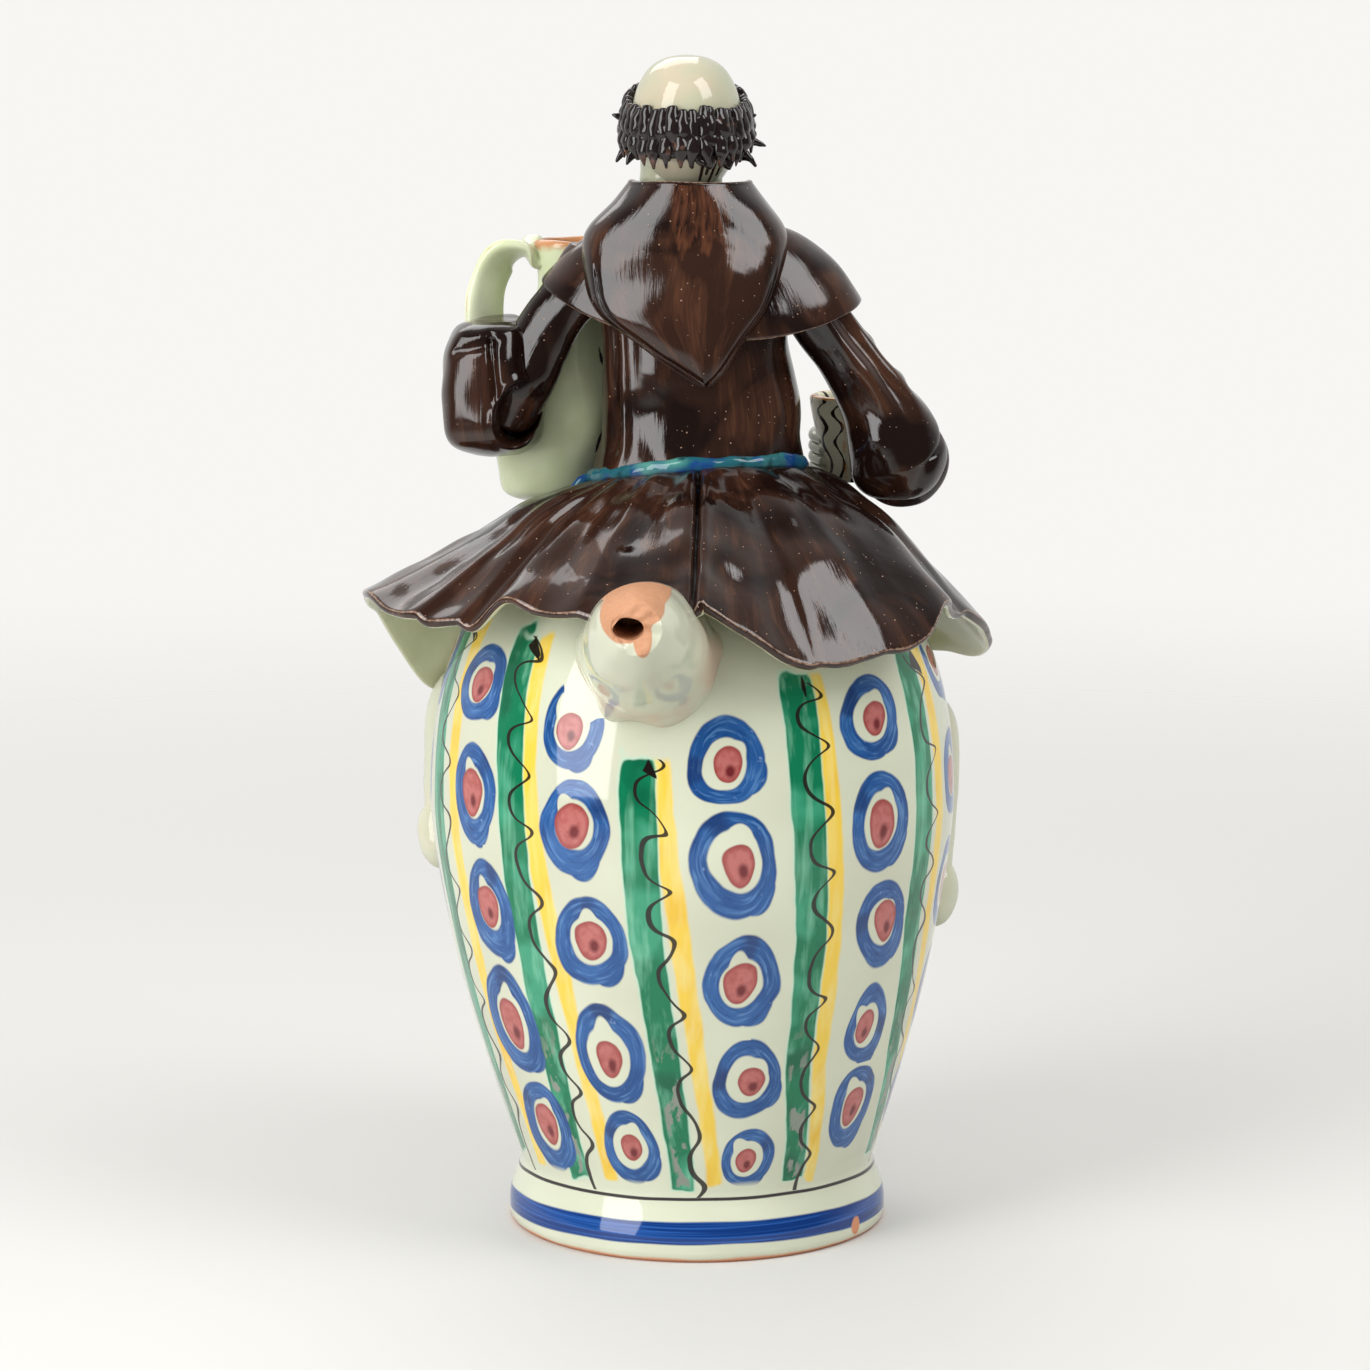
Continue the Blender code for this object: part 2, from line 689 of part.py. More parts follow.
def make_jug():
    """The wine jug and its broad strap handle."""
    foot = figure(*JUG_FOOT)
    slope = JUG_LEAN / JUG_HEIGHT
    forms = [turned("jug", jug_profile(0.0), foot, 16, slope)]
    rim = foot + Vector((-JUG_LEAN + 0.85 * JUG_RIM, 0.0, 0.96 * JUG_HEIGHT))
    landing = foot + Vector((0.75 * JUG_RADIUS, 0.001, 0.42 * JUG_HEIGHT))
    loop = ((5.0, 1.5, 1.5), (11.5, 3.0, -1.0), (15.5, 4.0, -8.5), (16.8, 4.5, -20.0), (15.5, 4.0, -31.0))
    rows = [rim]
    for offset in loop:
        rows.append(rim + Vector(offset) * UNIT)
    rows.append(landing)
    spots = []
    for spot in curve_through(rows, 10):
        spots.append((Vector(spot), STRAP_WIDTH / 2, STRAP_THICKNESS / 2))
    forms.append(solid_of("jug handle", tube_rings(spots, 8, Vector((0.72, 0.69, 0.0)))))
    return forms


def make_jug_inside():
    """The hollow of the jug, open at its mouth."""
    foot = figure(*JUG_FOOT)
    profile = jug_profile(JUG_WALL)
    profile = [(profile[0][0], JUG_WALL)] + profile[1:] + [(profile[-1][0], JUG_HEIGHT + JUG_WALL)]
    return turned("jug inside", profile, foot, 12, JUG_LEAN / JUG_HEIGHT)


def make_cup():
    """The small cup, wider at its mouth."""
    swell = 0.5 * (CUP_BASE + CUP_RADIUS) + 0.0012
    profile = ((CUP_BASE, 0.0), (swell, 0.45 * CUP_HEIGHT), (CUP_RADIUS, CUP_HEIGHT))
    return turned("cup", curve_through(profile, 5), figure(*CUP_FOOT), 16)


def make_cup_inside():
    """The hollow of the cup."""
    slope = (CUP_RADIUS - CUP_BASE) / CUP_HEIGHT
    mouth = CUP_RADIUS - CUP_WALL + slope * CUP_WALL
    profile = ((CUP_BASE - CUP_WALL, CUP_WALL), (mouth, CUP_HEIGHT + CUP_WALL))
    return turned("cup inside", profile, figure(*CUP_FOOT), 12)


def make_leg(side, ankle_height):
    """One leg and its bare foot, luted to the jar's wall: side is 1 for the left and -1 for the right."""
    azimuth = side * LEG_AZIMUTH
    knee = BELLY_HEIGHT + 0.62 * (JAR_HEIGHT - BELLY_HEIGHT)
    calf = 0.5 * (knee + ankle_height)
    spots = []
    rows = (
        (knee, 1.15, -2.0, 0.0),
        (calf + 0.3 * (knee - calf), 1.1, 0.0, 2.0),
        (calf, 1.0, 3.0, 0.0),
        (ankle_height + 0.012, 0.78, 5.0, 0.0),
        (ankle_height, 0.72, 6.5, 0.0),
    )
    for height, swell, out, forward in curve_through(rows, 5):
        centre = on_jar(azimuth + side * forward, height, out * UNIT)
        spots.append((centre, LEG_RADIUS * swell, LEG_RADIUS * swell))
    forms = [solid_of("leg", tube_rings(spots, 9, Vector((0, 1, 0))))]
    heel = on_jar(azimuth - side * 3.0, ankle_height - 0.006, 8.5 * UNIT)
    stride = math.degrees(FOOT_LENGTH / BELLY_RADIUS)
    toes = on_jar(azimuth + side * stride, ankle_height - 0.014, 11.0 * UNIT)
    mid = heel.lerp(toes, 0.5) + Vector((side * 0.003, -0.001, 0.001))
    spots = [
        (heel, 0.0062, 0.0105),
        (heel.lerp(mid, 0.55), 0.0068, 0.0095),
        (mid, 0.0072, 0.0078),
        (toes, 0.0080, 0.0048),
    ]
    back = (heel - mid).normalized()
    front = (toes - mid).normalized()
    heel_cap = [(heel + back * 0.0052, 0.0028, 0.0050), (heel + back * 0.0036, 0.0048, 0.0086)]
    toe_cap = [(toes + front * 0.0028, 0.0068, 0.0036), (toes + front * 0.0044, 0.0034, 0.0018)]
    side_hint = Vector((side, 0.6, 0.0)).normalized()
    forms.append(solid_of("foot", tube_rings(heel_cap + spots + toe_cap, 9, side_hint)))
    return forms


def glazed(name, colour, roughness):
    """A fired glaze of one colour."""
    made = bpy.data.materials.new(name)
    made.use_nodes = True
    shader = made.node_tree.nodes["Principled BSDF"]
    shader.inputs["Base Color"].default_value = (*colour, 1.0)
    shader.inputs["Roughness"].default_value = roughness
    shader.inputs["Metallic"].default_value = 0.0
    return made


def set_aside(forms, name):
    """Puts forms that a Boolean reads in a collection of their own, out of the render."""
    shelf = bpy.data.collections.new(name)
    bpy.context.scene.collection.children.link(shelf)
    for form in forms:
        bpy.context.scene.collection.objects.unlink(form)
        shelf.objects.link(form)
        form.hide_render = True
        form.display_type = "WIRE"
    return shelf


def add_boolean(made, name, operation, shelf):
    """Joins or cuts with every form on a shelf."""
    step = made.modifiers.new(name, "BOOLEAN")
    step.operation = operation
    step.operand_type = "COLLECTION"
    step.collection = shelf
    step.solver = "EXACT"


def main():
    for old in list(bpy.data.objects):
        bpy.data.objects.remove(old)

    vase = make_jar()
    vase.name = "friar_vase"
    forms = [make_skirt(), make_hips(), make_torso(), make_cape()]
    forms += [make_hood(), make_neck(), make_head(), make_hair()]
    forms += make_belt()
    forms += make_left_arm()
    forms += make_right_arm()
    forms += make_jug()
    forms += [make_cup(), make_spout()]
    forms += make_leg(1.0, 0.116)
    forms += make_leg(-1.0, 0.098)
    add_boolean(vase, "joined", "UNION", set_aside(forms, "clay forms"))
    hollows = [make_jar_inside(), make_spout_inside(), make_bore(), make_jug_inside(), make_cup_inside()]
    add_boolean(vase, "hollowed", "DIFFERENCE", set_aside(hollows, "hollows"))
    vase.data.materials.append(glazed("glazed earthenware", (0.62, 0.61, 0.50), 0.12))
    vase.data.shade_smooth()


main()
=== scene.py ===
"""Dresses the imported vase: a friar in brown glaze astride a tin-glazed jar with painted stripes and rings.

Metres, +Z up. The figure looks along -Y, and the photograph's camera stands at +Y.
Azimuths are in degrees from the back, +Y, towards the figure's left, +X.
"""

import math
import random

import bmesh
import bpy
from bpy.props import FloatProperty, FloatVectorProperty, PointerProperty
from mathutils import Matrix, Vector, noise


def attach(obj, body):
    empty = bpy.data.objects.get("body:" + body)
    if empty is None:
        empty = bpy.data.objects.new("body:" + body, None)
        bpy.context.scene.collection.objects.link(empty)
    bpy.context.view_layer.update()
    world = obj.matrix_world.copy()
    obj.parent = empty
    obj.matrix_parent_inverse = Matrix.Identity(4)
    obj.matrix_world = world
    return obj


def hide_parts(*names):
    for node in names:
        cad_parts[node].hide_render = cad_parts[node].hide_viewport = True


bl_info = {
    "name": "Figural maiolica vase",
    "version": (1, 0, 0),
    "blender": (4, 5, 0),
    "location": "3D View > Sidebar > Vase",
    "description": "Builds the visible pieces, glazes, light and camera of a figural vase",
    "category": "Object",
}

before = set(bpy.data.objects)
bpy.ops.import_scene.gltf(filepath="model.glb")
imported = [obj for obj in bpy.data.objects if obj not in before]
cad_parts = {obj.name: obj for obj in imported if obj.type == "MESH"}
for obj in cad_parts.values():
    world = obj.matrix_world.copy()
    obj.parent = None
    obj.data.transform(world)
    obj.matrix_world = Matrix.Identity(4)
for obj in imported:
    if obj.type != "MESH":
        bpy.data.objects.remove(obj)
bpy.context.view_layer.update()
MM = 0.001


def linear(code):
    """Turns an sRGB hex colour into the linear numbers that shaders use."""
    values = [int(code[i:i + 2], 16) / 255.0 for i in (1, 3, 5)]
    return tuple(v / 12.92 if v <= 0.04045 else ((v + 0.055) / 1.055) ** 2.4 for v in values)


class VaseShape(bpy.types.PropertyGroup):
    """The vase's driving sizes."""

    jar_height: FloatProperty(
        name="Jar height", description="From the foot to the crown", default=0.212, unit="LENGTH")
    foot_radius: FloatProperty(
        name="Foot radius", description="Outer radius of the foot", default=0.057, unit="LENGTH")
    waist_radius: FloatProperty(
        name="Waist radius", description="Above the foot", default=0.0535, unit="LENGTH")
    belly_radius: FloatProperty(
        name="Belly radius", description="Widest radius of the jar", default=0.0788, unit="LENGTH")
    belly_height: FloatProperty(
        name="Belly height", description="Height of the widest place", default=0.130, unit="LENGTH")
    seat_height: FloatProperty(
        name="Seat height", description="Where the figure sits", default=0.210, unit="LENGTH")
    slab: FloatProperty(
        name="Slab", description="Thickness of the habit's rolled clay", default=0.003, unit="LENGTH")
    belt_rope: FloatProperty(
        name="Belt rope", description="Diameter of the rope belt", default=0.0046, unit="LENGTH")


class VaseColours(bpy.types.PropertyGroup):
    """The glaze colours, linear."""

    tin_glaze: FloatVectorProperty(
        name="Tin glaze", description="Greenish cream ground", subtype="COLOR", size=3,
        default=linear("#BEC0AB"))
    habit: FloatVectorProperty(
        name="Habit", description="Manganese brown glaze", subtype="COLOR", size=3,
        default=linear("#2C1A13"))
    cobalt: FloatVectorProperty(
        name="Cobalt", description="Blue of the rings and the foot's band", subtype="COLOR", size=3,
        default=linear("#1C4982"))
    copper: FloatVectorProperty(
        name="Copper", description="Green of the wide stripes", subtype="COLOR", size=3,
        default=linear("#0A6E4A"))
    antimony: FloatVectorProperty(
        name="Antimony", description="Yellow of the narrow stripes", subtype="COLOR", size=3,
        default=linear("#E4BF38"))
    celadon: FloatVectorProperty(
        name="Celadon", description="Pale green of the jug", subtype="COLOR", size=3,
        default=linear("#C5CDA6"))


# Small tools


def ease(value):
    """0 to 1 with soft ends."""
    value = min(max(value, 0.0), 1.0)
    return value * value * (3.0 - 2.0 * value)


def bump(value, centre, width):
    """A soft hill one high."""
    return math.exp(-((value - centre) / width) ** 2)


def bump_round(azimuth, centre, width):
    """A soft hill on a circle of 360 degrees."""
    return bump((azimuth - centre + 180.0) % 360.0, 180.0, width)


def figure(x, y, z):
    """A point of the figure in its own millimetres above the seat."""
    return Vector((x * MM, y * MM, z * MM + bpy.context.scene.vase_shape.seat_height))


def own_place(spot):
    """The figure's own millimetres of a point: the other way round."""
    return spot.x / MM, spot.y / MM, (spot.z - bpy.context.scene.vase_shape.seat_height) / MM


def blend_rows(rows, i, t):
    """Reads a smooth curve through rows of numbers, a share t of the way from row i to the next."""
    before = rows[max(i - 1, 0)]
    start = rows[i]
    end = rows[i + 1]
    after = rows[min(i + 2, len(rows) - 1)]
    read = []
    for a, b, c, d in zip(before, start, end, after):
        read.append(b + 0.5 * t * (c - a + t * (2 * a - 5 * b + 4 * c - d + t * (3 * (b - c) + d - a))))
    return read


def read_curve(rows, share):
    """Reads the smooth curve through rows at a share of its whole."""
    place = min(max(share, 0.0), 1.0) * (len(rows) - 1)
    i = min(int(place), len(rows) - 2)
    return blend_rows(rows, i, place - i)


def read_around(rows, azimuth):
    """Reads rows that start with an azimuth, smoothly and all the way round."""
    azimuth = azimuth % 360.0
    after = [row for row in rows if row[0] > azimuth]
    i = rows.index(after[0]) if after else len(rows)
    wrapped = []
    for k in range(i - 2, i + 2):
        row = rows[k % len(rows)]
        wrapped.append((row[0] + 360.0 * (k // len(rows)),) + tuple(row[1:]))
    t = (azimuth - wrapped[1][0]) / (wrapped[2][0] - wrapped[1][0])
    return blend_rows(wrapped, 1, t)[1:]


def read_line(rows, key):
    """Reads the second numbers of rows at a value of the first, in straight steps."""
    if key <= rows[0][0]:
        return rows[0][1]
    for (a, b), (c, d) in zip(rows, rows[1:]):
        if key <= c:
            return b + (d - b) * (key - a) / (c - a)
    return rows[-1][1]


def normal_of(surface, u, v, du=0.002, dv=0.004):
    """The unit normal of a surface, from its neighbours."""
    along = surface(u + du, v) - surface(u - du, v)
    up = surface(u, min(v + dv, 1.0)) - surface(u, max(v - dv, 0.0))
    return along.cross(up).normalized()


def finish_mesh(name, mesh, glaze):
    """Turns a bmesh into a piece that rides on the root body."""
    data = bpy.data.meshes.new(name)
    mesh.to_mesh(data)
    mesh.free()
    data.shade_smooth()
    data.materials.append(glaze)
    piece = bpy.data.objects.new(name, data)
    bpy.context.scene.collection.objects.link(piece)
    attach(piece, "root")
    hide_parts("friar_vase")
    return piece


def wrap(mesh, place, around, along, girth=0.05, length=0.05, marks=None, wobble=None):
    """Wraps a grid round a form, u once round and v from end to end, and closes its seam and poles.

    marks gives named numbers for the glaze, and wobble is how far and how coarsely the clay
    wanders, in metres.
    """
    part = bmesh.new()
    sheet = part.loops.layers.uv.new("wrap")
    layers = {key: part.verts.layers.float.new(key) for key in ("rim", "shade")}
    bmesh.ops.create_grid(part, x_segments=around, y_segments=along, size=0.5)
    for face in part.faces:
        for loop in face.loops:
            spot = loop.vert.co
            loop[sheet].uv = ((spot.x + 0.5) * girth, (spot.y + 0.5) * length)
    for vert in part.verts:
        u = vert.co.x + 0.5
        v = vert.co.y + 0.5
        vert.co = place(u, v)
        for key, read in (marks or {}).items():
            vert[layers[key]] = read(u, v)
    bmesh.ops.remove_doubles(part, verts=part.verts, dist=2e-6)
    bmesh.ops.recalc_face_normals(part, faces=part.faces)
    if wobble:
        part.normal_update()
        reach, size = wobble
        for vert in part.verts:
            vert.co += vert.normal * reach * noise.noise(vert.co / size)
    data = bpy.data.meshes.new("part")
    part.to_mesh(data)
    part.free()
    mesh.from_mesh(data)
    bpy.data.meshes.remove(data)


def squared(share, power):
    """Raises a share and keeps its sign, which turns an oval towards a rounded box."""
    return math.copysign(abs(share) ** power, share)


def new_mesh():
    """An empty bmesh with the layers that the glazes read."""
    mesh = bmesh.new()
    mesh.loops.layers.uv.new("wrap")
    mesh.verts.layers.float.new("rim")
    mesh.verts.layers.float.new("shade")
    return mesh


def limb(rows, hint, caps=(0.0, 0.0), power=2.0, share=0.08, folds=None):
    """The surface of a tube through rows of x, y, z, half width and half height, with round caps.

    folds gives how far the clay stands out, in millimetres, round and along the tube.
    """
    def place(u, v):
        inside = (v - share) / (1.0 - 2.0 * share)
        over = max(-inside, inside - 1.0, 0.0) * (1.0 - 2.0 * share) / share
        inside = min(max(inside, 0.0), 1.0)
        x, y, z, width, height = read_curve(rows, inside)
        ahead = figure(*read_curve(rows, min(inside + 0.02, 1.0))[:3])
        behind = figure(*read_curve(rows, max(inside - 0.02, 0.0))[:3])
        along = (ahead - behind).normalized()
        up = along.cross(hint).normalized()
        across = up.cross(along)
        turn = 2.0 * math.pi * u
        a = squared(math.cos(turn), 2.0 / power)
        b = squared(math.sin(turn), 2.0 / power)
        lift = math.sin(0.5 * math.pi * over)
        shrink = math.cos(0.5 * math.pi * over)
        lift *= -caps[0] if v < 0.5 else caps[1]
        if folds:
            width += folds(u, v)
            height += folds(u, v)
        out = across * (a * width * shrink) + up * (b * height * shrink) + along * lift
        return figure(x, y, z) + out * MM
    return place


def stacked(rows, power=2.0, cap=0.03, out=None):
    """The surface of level ovals: rows of x, y, z, half width and half depth."""
    def place(u, v):
        inside = min(max((v - cap) / (1.0 - 2.0 * cap), 0.0), 1.0)
        over = min(v, 1.0 - v) / cap
        shrink = min(over, 1.0)
        x, y, z, width, depth = read_curve(rows, inside)
        turn = 2.0 * math.pi * u
        a = squared(math.cos(turn), 2.0 / power)
        b = squared(math.sin(turn), 2.0 / power)
        more = out(turn, z) if out else 0.0
        return figure(x + a * (width + more) * shrink, y + b * (depth + more) * shrink, z)
    return place


def add(tree, kind, links=None, **settings):
    """Adds a shader node with its settings, and its inputs as numbers or as other nodes' outputs."""
    made = tree.nodes.new("ShaderNode" + kind)
    for key, value in settings.items():
        setattr(made, key, value)
    for key, value in (links or {}).items():
        if isinstance(value, bpy.types.Node):
            value = value.outputs[0]
        if isinstance(value, bpy.types.NodeSocket):
            tree.links.new(value, made.inputs[key])
        else:
            made.inputs[key].default_value = value
    return made


def maths(tree, operation, *values):
    """One step of arithmetic on numbers or nodes."""
    return add(tree, "Math", dict(enumerate(values)), operation=operation)


def remap(tree, value, low, high, start=0.0, end=1.0, smooth=False):
    """Carries a value from low..high to start..end, and holds it there."""
    return add(tree, "MapRange", {0: value, 1: low, 2: high, 3: start, 4: end},
               interpolation_type="SMOOTHSTEP" if smooth else "LINEAR")


def cloud(tree, place, scale, detail, roughness=0.5, distortion=0.0):
    """Soft random patches: a scale of 100 gives about one in 10 mm."""
    return add(tree, "TexNoise", {"Vector": place, "Scale": scale, "Detail": detail, "Roughness": roughness,
                                  "Distortion": distortion})


def vectors(tree, operation, *values):
    """One step of arithmetic on vectors."""
    return add(tree, "VectorMath", dict(enumerate(values)), operation=operation)


def stretch(tree, place, *scale):
    """Stretches places, so that a cloud read there turns into brush marks."""
    return add(tree, "Mapping", {"Vector": place, "Scale": scale})


def mark(tree, name):
    """Reads a named number that the mesh carries."""
    return add(tree, "Attribute", attribute_name=name).outputs["Fac"]


def ripple(tree, strength, distance, height, under=None, sunk=False):
    """Relief too fine for the mesh, over the relief under it."""
    links = {"Strength": strength, "Distance": distance, "Height": height}
    if under:
        links["Normal"] = under
    return add(tree, "Bump", links, invert=sunk)


def rgba(colour):
    """A plain colour with its alpha; a node's output stays as it is."""
    return colour if isinstance(colour, bpy.types.NodeSocket) else (*colour, 1.0)


def layered(tree, ground, coats):
    """Brushes coats over a ground colour: each is a mask and a colour."""
    for mask, colour in coats:
        ground = add(tree, "Mix", {0: mask, 6: rgba(ground), 7: rgba(colour)}, data_type="RGBA").outputs[2]
    return ground


def feed(tree, name, value):
    """Leads a value into the glossy shader."""
    socket = value.outputs[0] if isinstance(value, bpy.types.Node) else value
    tree.links.new(socket, tree.nodes["Principled BSDF"].inputs[name])


def glaze_of(name, ior, roughness):
    """A material with one glossy shader: gives its tree, the places on the piece, and the material."""
    material = bpy.data.materials.new(name)
    material.use_nodes = True
    tree = material.node_tree
    shader = tree.nodes["Principled BSDF"]
    shader.inputs["IOR"].default_value = ior
    shader.inputs["Roughness"].default_value = roughness
    return tree, add(tree, "TexCoord").outputs["Object"], material


def shared(name, make):
    """A glaze that several pieces share, made at its first use."""
    return bpy.data.materials.get(name) or make()


# The jar: its profile, and the places of its painted stripes and rings


WAIST_HEIGHT = 0.0195
FOOT_BAND = 0.006
LOWER_CURVE = 1.53
CROWN_RISE = 2.2
CROWN_ROUND = 0.3155


def jar_radius(height):
    """The jar's outer radius: a flared foot, a waist, and a belly that closes to the crown."""
    shape = bpy.context.scene.vase_shape
    if height < WAIST_HEIGHT:
        flare = ease((WAIST_HEIGHT - height) / (WAIST_HEIGHT - FOOT_BAND))
        return shape.waist_radius + (shape.foot_radius - shape.waist_radius) * flare
    if height < shape.belly_height:
        rise = (height - WAIST_HEIGHT) / (shape.belly_height - WAIST_HEIGHT)
        swell = 1.0 - (1.0 - rise) ** LOWER_CURVE
        return shape.waist_radius + (shape.belly_radius - shape.waist_radius) * swell
    rise = min((height - shape.belly_height) / (shape.jar_height - shape.belly_height), 1.0)
    return shape.belly_radius * (1.0 - rise ** CROWN_RISE) ** CROWN_ROUND


def jar_centre(height):
    """The jar's axis leans a little, as it was thrown."""
    shape = bpy.context.scene.vase_shape
    return Vector((0.0015 * ease(height / shape.belly_height), 0.0, height))


def on_jar(azimuth, height, out=0.0):
    """A point on the jar's wall."""
    turn = math.radians(azimuth)
    reach = jar_radius(height) + out
    return jar_centre(height) + Vector((reach * math.sin(turn), reach * math.cos(turn), 0.0))


# Each set of stripes: the azimuths of its green and its yellow at five heights, and its top
STRIPE_HEIGHTS = (0.025, 0.060, 0.100, 0.140, 0.182)
STRIPES = [
    ((72.0, 72.0, 72.0, 73.0, 77.0), (58.0, 60.0, 61.0, 63.5, 66.5), 0.188),
    ((39.5, 39.2, 40.2, 42.2, 45.8), (27.5, 29.5, 32.5, 37.0, 39.6), 0.187),
    ((4.2, 7.2, 10.2, 11.6, 12.4), (-5.2, -1.0, 2.8, 6.2, 8.6), 0.156),
    ((-31.0, -27.0, -27.0, -24.9, -24.3), (-37.5, -33.4, -32.6, -30.6, -28.9), 0.176),
    ((-71.0, -64.0, -59.6, -60.1, -60.8), (-80.0, -74.0, -68.6, -68.0, -68.6), 0.179),
]

# Each painted ring: azimuth, height, half width and half height
RINGS = [
    (56.8, 0.170, 11.5, 12.2), (54.8, 0.138, 10.5, 14.2), (51.9, 0.1045, 11.5, 16.2),
    (51.6, 0.0705, 11.5, 16.0), (49.8, 0.037, 10.2, 14.6),
    (26.5, 0.1615, 10.0, 13.0), (25.6, 0.1325, 10.8, 13.6), (22.9, 0.0985, 11.6, 15.4),
    (21.3, 0.064, 10.6, 14.6), (19.5, 0.0345, 8.8, 13.0),
    (-7.5, 0.154, 12.0, 13.2), (-8.0, 0.123, 12.6, 15.6), (-10.3, 0.0874, 11.8, 15.4),
    (-13.5, 0.0565, 10.6, 12.4), (-15.4, 0.032, 8.0, 9.0),
    (-43.1, 0.1607, 12.0, 12.2), (-43.8, 0.1316, 11.6, 14.0), (-46.9, 0.1005, 11.8, 14.6),
    (-48.3, 0.0705, 9.4, 12.6), (-49.1, 0.0436, 9.4, 13.2),
    (-80.5, 0.172, 11.0, 12.5), (-80.0, 0.139, 11.0, 13.6), (-80.5, 0.105, 11.0, 14.0),
    (-81.5, 0.0725, 10.0, 13.4), (-82.0, 0.0415, 9.0, 12.4),
]


def fill_hidden_painting():
    """Carries the painting round the jar's far side, as freely spaced as on the near side."""
    chance = random.Random(7)
    for k in range(1, 7):
        middle = -80.5 - 31.9 * k
        for height in (0.172, 0.139, 0.105, 0.0725, 0.0415):
            RINGS.append((middle + chance.uniform(-1.5, 1.5), height + chance.uniform(-1, 1) * 2 * MM,
                          9.0 + 22.0 * height + chance.uniform(-0.6, 0.6), chance.uniform(12.5, 14.5)))
        side = middle + 16.5
        greens = [side + chance.uniform(-1.0, 1.0) + 3.0 for _ in range(5)]
        yellows = [green - chance.uniform(5.6, 7.4) for green in greens]
        STRIPES.append((greens, yellows, chance.uniform(0.176, 0.188)))


def nearest_turn(azimuth, other):
    """The signed angle from one azimuth to another, in degrees."""
    return (azimuth - other + 180.0) % 360.0 - 180.0


def paint_guides(mesh):
    """Gives each face its place beside the nearest stripes and in the nearest ring, in centimetres."""
    stripe = mesh.loops.layers.uv.new("stripe")
    ring = mesh.loops.layers.uv.new("ring")
    top = mesh.faces.layers.float.new("stripe_top")
    tone = mesh.faces.layers.float.new("ring_tone")
    broken = mesh.faces.layers.float.new("ring_broken")
    dab = mesh.faces.layers.float.new("dab")
    chance = random.Random(21)
    tones = {row: chance.uniform(-1.0, 1.0) for row in RINGS}
    dabs = [0.7, 1.0, 0.62, 0.15, 0.85] + [chance.uniform(0.3, 1.0) for _ in STRIPES[5:]]
    greens = []
    for (green, yellow, height), size in zip(STRIPES, dabs):
        greens.append((list(zip(STRIPE_HEIGHTS, green)), list(zip(STRIPE_HEIGHTS, yellow)), height, size))
    for face in mesh.faces:
        spot = face.calc_center_median()
        azimuth = math.degrees(math.atan2(spot.x - jar_centre(spot.z).x, spot.y))
        best = min(greens, key=lambda row: abs(nearest_turn(azimuth, read_line(row[0], spot.z) - 3.5)))
        scale = math.radians(1.0) * jar_radius(spot.z) / MM
        own = min(RINGS, key=lambda row: (nearest_turn(azimuth, row[0]) * scale / row[2]) ** 2
                  + ((spot.z - row[1]) / MM / row[3]) ** 2)
        face[top] = best[2]
        face[tone] = tones[own]
        face[broken] = 1.0 if own is RINGS[5] else 0.0
        face[dab] = best[3]
        for loop in face.loops:
            here = loop.vert.co
            reach = math.radians(1.0) * jar_radius(here.z) / MM
            there = math.degrees(math.atan2(here.x - jar_centre(here.z).x, here.y))
            loop[stripe].uv = (-nearest_turn(there, read_line(best[0], here.z)) * reach / 10.0,
                               -nearest_turn(there, read_line(best[1], here.z)) * reach / 10.0)
            loop[ring].uv = (-nearest_turn(there, own[0]) * reach / own[2], (here.z - own[1]) / MM / own[3])


